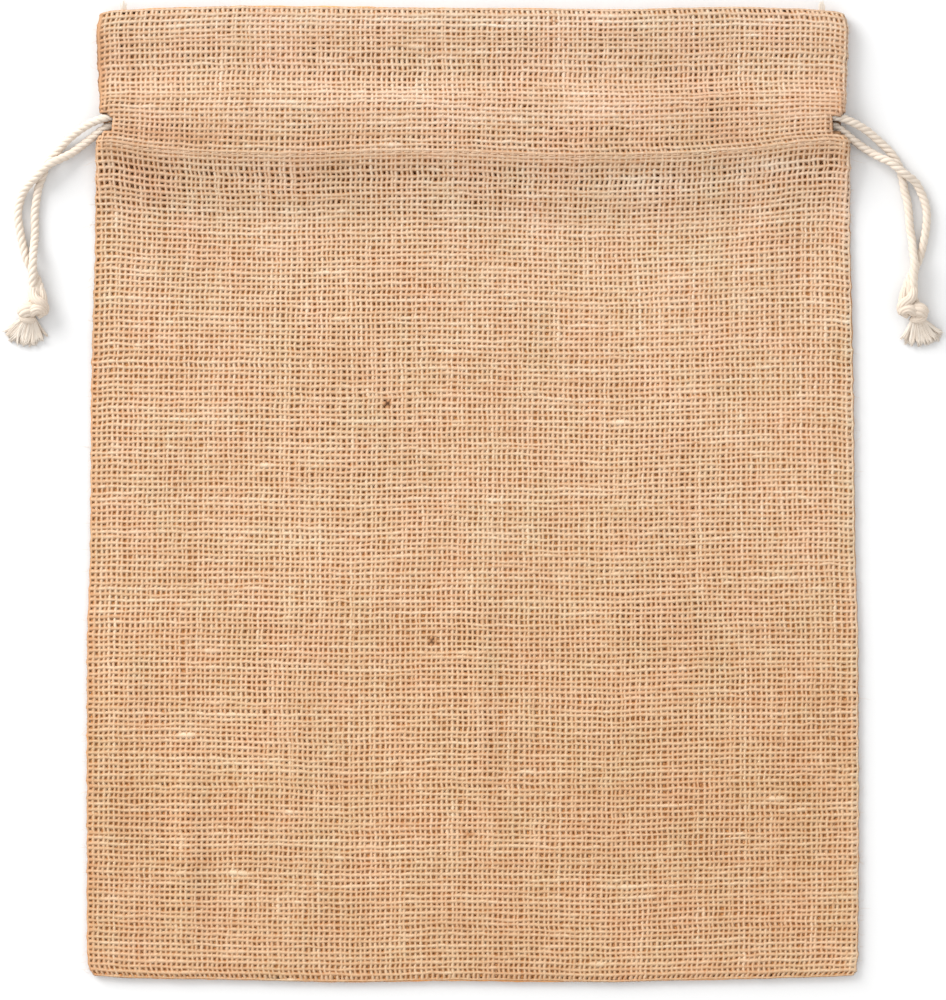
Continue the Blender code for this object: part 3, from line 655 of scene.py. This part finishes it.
def twisted_cord(name, route, look, settings, hand, swelling=None, detail=1.0, fine=1, paler=0.0):
    """A cord of plies wound round each other along a route of points in millimetres.

    fine is how many strands each ply has come apart into.
    """
    plies, lay = settings.plies * fine, settings.lay / MM * fine**2
    line = smooth_route(route, settings.lay / MM / (STATIONS_A_TURN * detail))
    line[:, 2] += (settings.diameter / MM - CORD) / 2
    across, upward = sideways(line)
    run = np.linspace(0.0, run_length(line), len(line))
    swollen = np.ones(len(line)) if swelling is None else np.interp(run / run[-1], *swelling)
    thickness = settings.diameter / MM / 2 * swollen
    touching = thickness / (1 + 1 / math.sin(math.pi / plies))
    ply = touching * (WHOLE_PLY if fine == 1 else FRAYED_PLY)
    lines = []
    for which in range(plies):
        angle = hand * run / lay * 2 * math.pi + which * 2 * math.pi / plies
        out = across * np.cos(angle)[:, None] + upward * np.sin(angle)[:, None]
        lines.append(line + out * (thickness - ply)[:, None])
    lines, radii = np.array(lines), np.tile(ply, (plies, 1))
    sides = 12 if detail >= 1 and fine == 1 else 7
    rings = tube_rings(lines, radii, sides)
    out = np.linalg.norm(rings - line[None, :, None], axis=3) / thickness[None, :, None]
    # Painted shade between plies: a ply is crowned only where it stands out from the cord's middle
    crowned = np.clip((out - PLY_CROWN_FROM) / PLY_CROWN_OVER, 0.0, 1.0)
    tone = np.linspace(-PLY_TONES, PLY_TONES, plies) + paler
    return round_threads(name, lines, radii, sides, tone, look, crowned), line


def mirrored(route):
    """A route on the other side of the sack."""
    return tuple((-x, up, z) for x, up, z in route)


def channel_run(up, z):
    """Route of a cord inside its channel, from the left opening to the right one."""
    spans = RUN_END * (np.arange(11) / 5 - 1)
    return [(x, float(place(x, up)), z) for x in spans]


def settle(piece, slot, *nodes):
    """The piece rides on the sack and stands for solids of it."""
    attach(piece, "root")
    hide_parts(*nodes)
    return piece


class NodeDesk:
    """Adds nodes to one node tree and joins them up."""

    def __init__(self, tree):
        self.nodes, self.link = tree.nodes, tree.links.new

    def feed(self, sockets, values):
        """Set each socket to its value, or join it to the socket that gives it."""
        for socket, value in zip(sockets, values):
            if isinstance(value, (int, float, tuple)):
                socket.default_value = value
            else:
                self.link(value, socket)

    def maths(self, operation, first, second):
        """A Math node of two values or sockets, and its result."""
        node = self.nodes.new("ShaderNodeMath")
        node.operation = operation
        self.feed(node.inputs, (first, second))
        return node.outputs[0]

    def blended(self, share, first, second, blend="MIX"):
        """A Mix node between two colours, and its result."""
        node = self.nodes.new("ShaderNodeMix")
        node.data_type, node.blend_type = "RGBA", blend
        self.feed((node.inputs[0], node.inputs[6], node.inputs[7]), (share, first, second))
        return node.outputs[2]

    def noise(self, vector, scale, detail=2.0, roughness=0.5):
        """A Noise Texture node, and its result."""
        node = self.nodes.new("ShaderNodeTexNoise")
        sockets = [node.inputs[name] for name in ("Vector", "Scale", "Detail", "Roughness")]
        self.feed(sockets, (vector, scale, detail, roughness))
        return node.outputs["Fac"]

    def object_place(self):
        """Where a point of the piece lies."""
        return self.nodes.new("ShaderNodeTexCoord").outputs["Object"]

    def parts(self, vector):
        """The three parts of a vector."""
        node = self.nodes.new("ShaderNodeSeparateXYZ")
        self.link(vector, node.inputs[0])
        return node.outputs


def shared_group(name, inputs, output):
    """The shader node group of that name, and the desk to fill it with if it is new.

    inputs holds each socket's name, kind and default, and output the name and kind of the result.
    """
    if name in bpy.data.node_groups:
        return bpy.data.node_groups[name], None
    group = bpy.data.node_groups.new(name, "ShaderNodeTree")
    for socket, kind, value in inputs:
        made = group.interface.new_socket(socket, in_out="INPUT", socket_type=f"NodeSocket{kind}")
        if value is not None:
            made.default_value = value
    group.interface.new_socket(output[0], in_out="OUTPUT", socket_type=f"NodeSocket{output[1]}")
    return group, NodeDesk(group)


def fibre_streaks():
    """The shared group that draws twisted fibres along a thread, built once."""
    inputs = (("Thread", "Vector", None), ("Around", "Float", 5.0), ("Along", "Float", 1.2))
    inputs += (("Twist", "Float", 1.5),)
    group, desk = shared_group("Fibre streaks", inputs, ("Streak", "Float"))
    if desk:
        start = desk.nodes.new("NodeGroupInput").outputs
        end = desk.nodes.new("NodeGroupOutput").inputs
        around, run, which = desk.parts(start["Thread"])
        slope = desk.maths("MULTIPLY", run, start["Twist"])
        turned = desk.maths("SUBTRACT", desk.maths("MULTIPLY", around, start["Around"]), slope)
        along = desk.maths("MULTIPLY", run, start["Along"])
        joined = desk.nodes.new("ShaderNodeCombineXYZ")
        desk.feed(joined.inputs, (turned, along, desk.maths("MULTIPLY", which, THREAD_APART)))
        desk.link(desk.noise(joined.outputs[0], 1.0, 3.0, 0.6), end["Streak"])
    return group


def patchy_tint():
    """The shared group that tints a colour unevenly over the cloth, built once."""
    inputs = (("Colour", "Color", None), ("Amount", "Float", 1.0))
    group, desk = shared_group("Patchy tint", inputs, ("Colour", "Color"))
    if desk:
        start = desk.nodes.new("NodeGroupInput").outputs
        end = desk.nodes.new("NodeGroupOutput").inputs
        place_of, tinted = desk.object_place(), start["Colour"]
        for scale, first, second in TINTS:
            spread = desk.maths("SUBTRACT", desk.noise(place_of, scale), 0.5)
            spread = desk.maths("MULTIPLY", spread, 3.0)
            share = desk.maths("ADD", desk.maths("MULTIPLY", spread, start["Amount"]), 0.5)
            tinted = desk.blended(1.0, tinted, desk.blended(share, first, second), "MULTIPLY")
        height = desk.maths("DIVIDE", desk.parts(place_of)["Y"], 2 * HALF_HEIGHT * MM)
        ramp = desk.nodes.new("ShaderNodeValToRGB")
        desk.link(desk.maths("ADD", height, 0.5), ramp.inputs["Fac"])
        for position, _ in TINT_UP_THE_SACK[1:-1]:
            ramp.color_ramp.elements.new(position)
        for element, (_, colour) in zip(ramp.color_ramp.elements, TINT_UP_THE_SACK):
            element.color = (*colour, 1.0)
        desk.link(desk.blended(1.0, tinted, ramp.outputs["Color"], "MULTIPLY"), end["Colour"])
    return group


def thread_look(name, settings, streaks, edge, holes, tone_share, rough, patchy=0.0, inside=None):
    """The finish of threads: painted shade at their edges, streaked along their fibres, uneven in tone.

    settings hold the colours of the painted shade between threads, the thread itself, its pale slubs and
    its dark stretches. edge is how much painted shade a thread has at its edges, and holes how much more
    where a hole of the weave is. inside is the colour of a painted glow at the threads' feet, in place of
    light scattered through the jute.
    """
    if name in bpy.data.materials:
        return bpy.data.materials[name]
    look = bpy.data.materials.new(name)
    look.use_nodes = True
    desk = NodeDesk(look.node_tree)
    nodes, maths, blended = desk.nodes, desk.maths, desk.blended
    shader = nodes["Principled BSDF"]
    facts = {}
    for fact in ("tone", "crowned", "crossing", "thread"):
        made = nodes.new("ShaderNodeAttribute")
        made.attribute_name = fact
        facts[fact] = made.outputs["Vector" if fact == "thread" else "Fac"]
    fibres = nodes.new("ShaderNodeGroup")
    fibres.node_tree = fibre_streaks()
    desk.feed(fibres.inputs, (facts["thread"], *streaks))
    streak = maths("SUBTRACT", fibres.outputs["Streak"], 0.5)
    colours = (settings.shade, settings.colour, settings.pale, settings.dark)
    shade, body, pale, dark = (tuple(colour) + (1.0,) for colour in colours)
    low = maths("MAXIMUM", maths("SUBTRACT", 1.0, facts["crowned"]), 0.0)
    low = maths("POWER", low, 1.15)
    turn = maths("COSINE", maths("MULTIPLY", facts["crossing"], 2 * math.pi), 0.0)
    between = maths("SUBTRACT", 0.5, maths("MULTIPLY", turn, 0.5))
    depth = maths("SUBTRACT", desk.noise(desk.object_place(), HOLE_SCALE, 1.5), HOLE_FROM)
    depth = maths("MULTIPLY", depth, HOLE_STRENGTH)
    hole = maths("MULTIPLY", maths("MULTIPLY", between, depth), holes)
    # Painted shade at the threads' edges and, more of it, in the holes of the weave
    shaded = maths("MULTIPLY", low, maths("ADD", hole, edge))
    shaded = maths("SUBTRACT", shaded, maths("MULTIPLY", streak, STREAK_SHADE))
    colour = blended(shaded, body, shade)
    if inside:
        # Painted glow: the threads' feet turn to a brighter, redder burlap in place of light scattered
        # through the jute
        colour = blended(maths("POWER", low, 5.0), colour, tuple(inside) + (1.0,))
    tone = maths("MULTIPLY", facts["tone"], tone_share)
    paler = maths("ADD", tone, maths("MULTIPLY", streak, STREAK_TONE))
    colour = blended(paler, colour, pale)
    darker = maths("MULTIPLY", paler, -1.0)
    colour = blended(darker, colour, dark)
    colour = blended(maths("SUBTRACT", darker, BARK_FROM), colour, BARK)
    if patchy:
        tint = nodes.new("ShaderNodeGroup")
        tint.node_tree = patchy_tint()
        desk.feed(tint.inputs, (colour, patchy))
        colour = tint.outputs["Colour"]
    desk.link(colour, shader.inputs["Base Color"])
    uneven = maths("MULTIPLY", streak, STREAK_ROUGHNESS)
    desk.link(maths("ADD", uneven, rough), shader.inputs["Roughness"])
    shader.inputs["Specular IOR Level"].default_value = 0.2
    bump = nodes.new("ShaderNodeBump")
    bump.inputs["Strength"].default_value = BUMP_STRENGTH
    bump.inputs["Distance"].default_value = BUMP_DISTANCE
    desk.link(fibres.outputs["Streak"], bump.inputs["Height"])
    desk.link(bump.outputs["Normal"], shader.inputs["Normal"])
    return look


def burlap_look():
    """Jute threads as they lie on the front."""
    cloth = bpy.context.scene.sack_cloth
    return thread_look("jute_threads", cloth, JUTE_STREAKS, *JUTE_PAINTED_SHADE, 0.45, 0.9, 0.35)


def inner_burlap_look():
    """Jute threads of the back and the hems, with a painted glow at their feet in place of light scattered
    through the jute.
    """
    cloth = bpy.context.scene.sack_cloth
    name = "jute_threads_inside"
    return thread_look(name, cloth, JUTE_STREAKS, *JUTE_PAINTED_SHADE, 0.4, 0.9, 0.35, cloth.inner)


def cotton_look():
    """Cotton of the cords, the knots and the tassels."""
    cords = bpy.context.scene.sack_cords
    return thread_look("cotton_threads", cords, COTTON_STREAKS, *COTTON_PAINTED_SHADE, 0.5, 0.85)


def weave_layer(name, weave, look):
    """The lengthwise and the crosswise threads of a layer, as two pieces."""
    pieces = []
    for way, crosswise in (("warp", False), ("weft", True)):
        piece = thread_mesh(f"{name}_{way}", *weave.threads(crosswise), look)
        pieces.append(settle(piece, "burlap", "sack_cloth"))
    return pieces


def number(kind, name, description, default, **limits):
    """A number that a user may change."""
    return kind(name=name, description=description, default=default, **limits)


def a_length(name, description, default):
    """A length that a user may change."""
    return number(FloatProperty, name, description, default, unit="LENGTH", precision=5)


def a_colour(name, description, default):
    """A colour that a user may change."""
    return number(FloatVectorProperty, name, description, default, subtype="COLOR")


class SackClothSettings(bpy.types.PropertyGroup):
    """Sizes and colours of the burlap."""

    lengthwise: number(IntProperty, "Lengthwise threads", "Threads across the sack", 151)
    lengthwise_width: a_length("Lengthwise width", "Width of a lengthwise thread", 0.00140)
    crosswise_width: a_length("Crosswise width", "Width of a crosswise thread", 0.00148)
    wave: a_length("Wave", "How far a thread goes over and under", 0.00003)
    crown: a_length("Crown", "Height of a thread over its middle", 0.00014)
    lift: a_length("Lift", "How far the crosswise threads lie above the others", 0.00003)
    unevenness: number(
        FloatProperty, "Unevenness", "How far the threads stray from straight", 1.0, min=0.0, max=2.0
    )
    fibres: number(IntProperty, "Loose fibres", "Short hairs that stand off the cloth", 2400)
    colour: a_colour("Colour", "Burlap", (0.602, 0.411, 0.257))
    # Colour of the painted glow at the feet of the back's and the hems' threads, seen through the holes, in
    # place of light scattered through the jute
    inner: a_colour("Inner", "Burlap seen through the holes", (0.9, 0.4, 0.125))
    shade: a_colour("Shade", "Between threads", (0.44, 0.19, 0.065))
    pale: a_colour("Pale", "Thick soft stretches", (0.74, 0.59, 0.43))
    dark: a_colour("Dark", "Hard dark stretches", (0.46, 0.24, 0.115))


class SackCordSettings(bpy.types.PropertyGroup):
    """Sizes and colours of the cotton cords."""

    diameter: a_length("Diameter", "Thickness of a cord", 0.0028)
    plies: number(IntProperty, "Plies", "Strands twisted into a cord", 3)
    lay: a_length("Lay", "Length of one turn of the twist", 0.0066)
    locks: number(IntProperty, "Locks", "Frayed locks in a tassel", 56)
    colour: a_colour("Colour", "Cotton", (0.66, 0.57, 0.48))
    shade: a_colour("Shade", "Between plies", (0.63, 0.54, 0.455))
    pale: a_colour("Pale", "Fluffed fibres", (0.72, 0.67, 0.60))
    dark: a_colour("Dark", "Packed fibres", (0.55, 0.45, 0.36))


class SackStageSettings(bpy.types.PropertyGroup):
    """Floor, light and camera."""

    floor: a_colour("Floor", "Floor colour", (0.73, 0.73, 0.73))
    ambient: number(FloatProperty, "Ambient light", "Strength of the light from all round", 1.07)
    key: number(FloatProperty, "Key light", "Power of the soft light at the upper left", 69.0)


class SACK_OT_weave_front(bpy.types.Operator):
    """Weave the front, from the bottom fold to the mouth"""

    bl_idname = "sack.weave_front"
    bl_label = "Front"

    def execute(self, context):
        weave = Weave(outer_layer, 1, EDGE_INSET, face_rows(), 11, 0.1, patched=True)
        weave.open_slit(notched=True)
        warp, weft = weave_layer("front", weave, burlap_look())
        return {"FINISHED"}


class SACK_OT_weave_back(bpy.types.Operator):
    """Weave the back, from the bottom fold to the mouth"""

    bl_idname = "sack.weave_back"
    bl_label = "Back"

    def execute(self, context):
        weave = Weave(outer_layer, -1, EDGE_INSET, face_rows(), 23, 1.08, 1.3)
        weave.open_slit(notched=False)
        warp, weft = weave_layer("back", weave, inner_burlap_look())
        return {"FINISHED"}


class SACK_OT_weave_hems(bpy.types.Operator):
    """Weave the hems that are turned in at the mouth"""

    bl_idname = "sack.weave_hems"
    bl_label = "Hems"

    def execute(self, context):
        inset = CLOTH + LAYER_GAP + CLOTH / 2
        for name, side, seed in (("front_hem", 1, 37), ("back_hem", -1, 41)):
            weave = Weave(hem_layer, side, inset, hem_rows(), seed, 0.3, 1.2)
            weave.open_slit(notched=True)
            warp, weft = weave_layer(name, weave, inner_burlap_look())
        return {"FINISHED"}


class SACK_OT_scatter_fibres(bpy.types.Operator):
    """Scatter loose jute fibres over the cloth"""

    bl_idname = "sack.scatter_fibres"
    bl_label = "Loose fibres"

    share_at_edge, share_in_front = 0.16, 0.75
    over_the_cloth, lowest = 0.3, 0.08
    radii = 0.032 * np.array((0.7, 1.0, 1.0, 0.8, 0.35))

    def execute(self, context):
        rng, count = np.random.default_rng(5), context.scene.sack_cloth.fibres
        up = rng.uniform(-157.0, 157.0, count)
        left, right = read(SIDES, up, 1), read(SIDES, up, 2)
        x = left + (right - left) * rng.uniform(0.0, 1.0, count)
        at_edge = rng.uniform(0.0, 1.0, count) < self.share_at_edge
        edge = np.where(rng.uniform(0, 1, count) < 0.5, left + 0.4, right - 0.4)
        x = np.where(at_edge, edge, x)
        front = rng.uniform(0.0, 1.0, count) < self.share_in_front
        low, high = outer_layer(x, up)
        face = np.where(front, high + self.over_the_cloth, low - self.over_the_cloth)
        z = np.where(at_edge, (low + high) / 2, face)
        heading = rng.uniform(0.0, 2 * math.pi, count)
        length = rng.gamma(3.0, 0.55, count) + 0.6
        bend = rng.normal(0.0, 0.9, count)
        rise = np.where(front, rng.uniform(0.05, 0.55, count), -rng.uniform(0.0, 0.05, count))
        share = np.linspace(0.0, 1.0, len(self.radii))[:, None]
        turned, step = heading + bend * share, length / (len(self.radii) - 1)
        dx, dy = np.cos(turned) * step, np.sin(turned) * step
        x, y = x + np.cumsum(dx, axis=0) - dx, place(x, up) + np.cumsum(dy, axis=0) - dy
        z = np.maximum(z + np.sin(share * math.pi) * rise, self.lowest)
        lines = np.stack((x, y, z), axis=-1).swapaxes(0, 1)
        radii, tone = np.tile(self.radii, (count, 1)), rng.normal(0.6, 0.5, count)
        hairs = round_threads("loose_fibres", lines, radii, 3, tone, burlap_look())
        settle(hairs, "burlap", "sack_cloth")
        return {"FINISHED"}


class SACK_OT_sew_hems(bpy.types.Operator):
    """Sew the stitch lines that hold the hems"""

    bl_idname = "sack.sew_hems"
    bl_label = "Stitches"

    stitch, height, radius = 3.1, 115.2, 0.16
    run = np.array((0.0, 0.25, 1.3, 2.35, 2.6))
    rise = np.array((-0.35, 0.02, 0.1, 0.02, -0.35))

    def execute(self, context):
        lines = []
        for side in (1, -1):
            for start in np.arange(-118.5, 117.0, self.stitch):
                x, up = start + self.run, self.height + np.zeros(5)
                face = outer_layer(x, up)[side > 0]
                lines.append(np.column_stack((x, place(x, up), face + side * self.rise)))
        lines = np.array(lines)
        lines[..., 2] = np.maximum(lines[..., 2], self.radius)
        radii, tone = np.full(lines.shape[:2], self.radius), np.zeros(len(lines))
        stitches = round_threads("hem_stitches", lines, radii, 5, tone, burlap_look())
        settle(stitches, "burlap", "sack_cloth")
        return {"FINISHED"}


class SACK_OT_leave_thread_ends(bpy.types.Operator):
    """Leave the ends of the side seams' thread over the mouth"""

    bl_idname = "sack.leave_thread_ends"
    bl_label = "Thread ends"

    tips = ((-112.9, 159.6), (112.8, 159.5))
    foot, height = 154.5, 3.2
    radii = 0.13 * np.array((1.0, 1.0, 1.0, 1.0, 0.85, 0.4))

    def execute(self, context):
        rng, lines = np.random.default_rng(8), []
        share = np.linspace(0.0, 1.0, len(self.radii))
        for x, tip in self.tips:
            for aside in np.linspace(-0.95, 0.95, 17):
                top = tip - 0.9 * abs(aside) ** 1.6 + rng.normal(0.0, 0.2)
                run = x + aside * (1.0 - 0.15 * share) + rng.normal(0.0, 0.2) * share**2
                z = self.height + rng.normal(0.0, 0.06) * share
                lines.append(np.column_stack((run, self.foot + (top - self.foot) * share, z)))
        radii, tone = np.tile(self.radii, (len(lines), 1)), rng.normal(0.7, 0.3, len(lines))
        ends = round_threads("seam_thread_ends", np.array(lines), radii, 6, tone, cotton_look())
        settle(ends, "cotton_cord", "sack_cloth")
        return {"FINISHED"}


class SACK_OT_lay_cords(bpy.types.Operator):
    """Lay both cords through their channels and out to the knots"""

    bl_idname = "sack.lay_cords"
    bl_label = "Cords"

    def execute(self, context):
        cords = context.scene.sack_cords
        for node, side, route, hand in (
            ("front_cord", "left", FRONT_CORD_LEFT, -1),
            ("back_cord", "left", BACK_CORD_LEFT, -1),
            ("front_cord", "right", FRONT_CORD_RIGHT, 1),
            ("back_cord", "right", BACK_CORD_RIGHT, 1),
        ):
            end, line = twisted_cord(f"{node}_{side}_end", route, cotton_look(), cords, hand)
            settle(end, "cotton_cord", node)
        for node, up, z, left, right in (
            ("front_cord", FRONT_CORD_UP, FRONT_CORD_Z, FRONT_CORD_LEFT[0], FRONT_CORD_RIGHT[0]),
            ("back_cord", BACK_CORD_UP, BACK_CORD_Z, BACK_CORD_LEFT[0], BACK_CORD_RIGHT[0]),
        ):
            route = [left] + channel_run(up, z) + [right]
            inside, _ = twisted_cord(f"{node}_in_channel", route, cotton_look(), cords, 1, detail=0.5)
            settle(inside, "cotton_cord", node)
        return {"FINISHED"}


class SACK_OT_tie_knots(bpy.types.Operator):
    """Tie the cords of each side in an overhand knot"""

    bl_idname = "sack.tie_knots"
    bl_label = "Knots"

    def execute(self, context):
        cords = context.scene.sack_cords
        for side, hand in (("left", -1), ("right", 1)):
            turns = []
            for which, (thickness, route) in LEFT_KNOT_TURNS.items():
                laid = route if side == "left" else mirrored(route)
                swelling = (SWELLING_AT, tuple(thickness * part for part in SWELLING))
                name = f"{side}_{which}"
                turn, _ = twisted_cord(name, laid, cotton_look(), cords, hand, swelling, fine=3, paler=-0.4)
                turns.append(turn)
            bpy.ops.object.select_all(action="DESELECT")
            for turn in turns:
                turn.select_set(True)
            bpy.context.view_layer.objects.active = turns[0]
            bpy.ops.object.join()
            turns[0].name = f"{side}_knot_turns"
            settle(turns[0], "cotton_cord", f"{side}_knot")
        return {"FINISHED"}


class SACK_OT_fray_tassels(bpy.types.Operator):
    """Fray the cords' ends under each knot into a tassel"""

    bl_idname = "sack.fray_tassels"
    bl_label = "Tassels"

    strands, sides = 4, 6
    root, lowest = 0.8, 0.25
    radii = 0.24 * np.array((1.0, 1.0, 1.05, 1.1, 1.1, 1.05, 1.0, 0.85, 0.45))

    def execute(self, context):
        count, share = context.scene.sack_cords.locks, np.linspace(0.0, 1.0, len(self.radii))
        # Painted shade on the underside of each lock; its upper side is crowned and plain
        crowned = 0.45 + 0.55 * np.sin(np.arange(self.sides) * math.pi / 3 + 0.5)
        for side, way, seed in (("left", 1.0, 3), ("right", -1.0, 4)):
            rng, lines, tone = np.random.default_rng(seed), [], []
            for lock in range(count):
                angle = TASSEL[0, 0] + (TASSEL[-1, 0] - TASSEL[0, 0]) * ((lock + 0.5) / count)
                reach = float(read(TASSEL, angle)) * rng.uniform(0.88, 1.02)
                angle = math.radians(angle) + rng.normal(0.0, 0.05)
                bent = angle + rng.normal(0.0, 0.1) * share**2
                lock_tone = rng.normal(0.35, 0.35)
                upper = lock % 2
                root_z, tip_z = 1.7 + 1.3 * upper, 0.55 + 0.75 * upper
                for strand in range(self.strands):
                    spin = 2 * math.pi * strand / self.strands + share * 2.2
                    loose = (0.2 + 0.16 * share) * (0.4 + 0.6 * (strand > 0))
                    run = self.root + (reach * rng.uniform(0.93, 1.02) - self.root) * share
                    x = TASSEL_FROM[0] + 0.9 * math.sin(angle) + run * np.sin(bent)
                    x = x + loose * np.cos(spin) * math.cos(angle)
                    up = TASSEL_FROM[1] - run * np.cos(bent)
                    up = up + loose * np.cos(spin) * math.sin(angle)
                    z = root_z + (tip_z - root_z) * ease(share * 1.1) + loose * np.sin(spin)
                    lines.append(np.column_stack((way * x, up, np.maximum(z, self.lowest))))
                    tone.append(lock_tone + rng.normal(0.0, 0.15))
            name, lines, tone = f"{side}_tassel_locks", np.array(lines), np.array(tone)
            radii = np.tile(self.radii, (len(lines), 1))
            locks = round_threads(name, lines, radii, self.sides, tone, cotton_look(), crowned)
            settle(locks, "cotton_cord", f"{side}_tassel")
        return {"FINISHED"}


class SACK_OT_set_stage(bpy.types.Operator):
    """Lay the floor, hang the lights and set up the camera"""

    bl_idname = "sack.set_stage"
    bl_label = "Stage"

    frame_height, frame_middle = 0.3238, (0.0, -0.0019)
    key_at, key_size = (-1.6, 1.5, 0.95), 1.5

    def execute(self, context):
        stage = context.scene.sack_stage
        bpy.ops.object.select_all(action="DESELECT")
        bpy.ops.mesh.primitive_plane_add(size=6.0)
        floor = context.object
        floor.name = "floor"
        look = bpy.data.materials.new("floor")
        look.use_nodes = True
        desk = NodeDesk(look.node_tree)
        shader = desk.nodes["Principled BSDF"]
        shader.inputs["Roughness"].default_value = 0.9
        shader.inputs["Specular IOR Level"].default_value = 0.1
        paper = tuple(stage.floor) + (1.0,)
        grey = tuple(0.985 * part for part in stage.floor) + (1.0,)
        grain = desk.noise(desk.object_place(), 900.0)
        desk.link(desk.blended(grain, grey, paper), shader.inputs["Base Color"])
        floor.data.materials.append(look)
        world = bpy.data.worlds.new("studio")
        world.use_nodes = True
        background = world.node_tree.nodes["Background"].inputs
        background["Color"].default_value = (1.0, 1.0, 1.0, 1.0)
        background["Strength"].default_value = stage.ambient
        context.scene.world = world
        hang_light("key", self.key_at, self.key_size, stage.key)
        context.scene.view_settings.view_transform = "Standard"
        data = bpy.data.cameras.new("camera")
        data.lens, data.sensor_width, data.clip_start, data.clip_end = 250.0, 36.0, 0.05, 20.0
        camera = bpy.data.objects.new("camera", data)
        camera.location = (*self.frame_middle, self.frame_height * data.lens / data.sensor_width)
        context.collection.objects.link(camera)
        context.scene.camera = camera
        return {"FINISHED"}


def hang_light(name, location, size, power):
    """A square soft light that looks at the sack's middle."""
    data = bpy.data.lights.new(name, "AREA")
    data.shape, data.size, data.energy = "SQUARE", size, power
    light = bpy.data.objects.new(name, data)
    light.location = location
    light.rotation_euler = (-Vector(location)).to_track_quat("-Z", "Y").to_euler()
    bpy.context.collection.objects.link(light)
    return light


class SACK_PT_panel(bpy.types.Panel):
    """The sack's pieces and their settings"""

    bl_idname = "SACK_PT_panel"
    bl_label = "Burlap sack"
    bl_space_type = "VIEW_3D"
    bl_region_type = "UI"
    bl_category = "Sack"

    def draw(self, context):
        for settings in ("sack_cloth", "sack_cords", "sack_stage"):
            box = self.layout.box()
            group = getattr(context.scene, settings)
            for name in group.__annotations__:
                box.prop(group, name)
        for operator in OPERATORS:
            self.layout.operator(operator.bl_idname)


OPERATORS = (
    SACK_OT_weave_front,
    SACK_OT_weave_back,
    SACK_OT_weave_hems,
    SACK_OT_scatter_fibres,
    SACK_OT_sew_hems,
    SACK_OT_leave_thread_ends,
    SACK_OT_tie_knots,
    SACK_OT_fray_tassels,
    SACK_OT_lay_cords,
    SACK_OT_set_stage,
)
GROUPS = (
    ("sack_cloth", SackClothSettings),
    ("sack_cords", SackCordSettings),
    ("sack_stage", SackStageSettings),
)


def register():
    for name, group in GROUPS:
        bpy.utils.register_class(group)
        setattr(bpy.types.Scene, name, PointerProperty(type=group))
    for part in (*OPERATORS, SACK_PT_panel):
        bpy.utils.register_class(part)


def unregister():
    for part in (SACK_PT_panel, *reversed(OPERATORS)):
        bpy.utils.unregister_class(part)
    for name, group in reversed(GROUPS):
        delattr(bpy.types.Scene, name)
        bpy.utils.unregister_class(group)


def main():
    """Build the sack's looks piece by piece."""
    register()
    for operator in OPERATORS:
        folder, name = operator.bl_idname.split(".")
        getattr(getattr(bpy.ops, folder), name)()


if __name__ == "__main__":
    main()
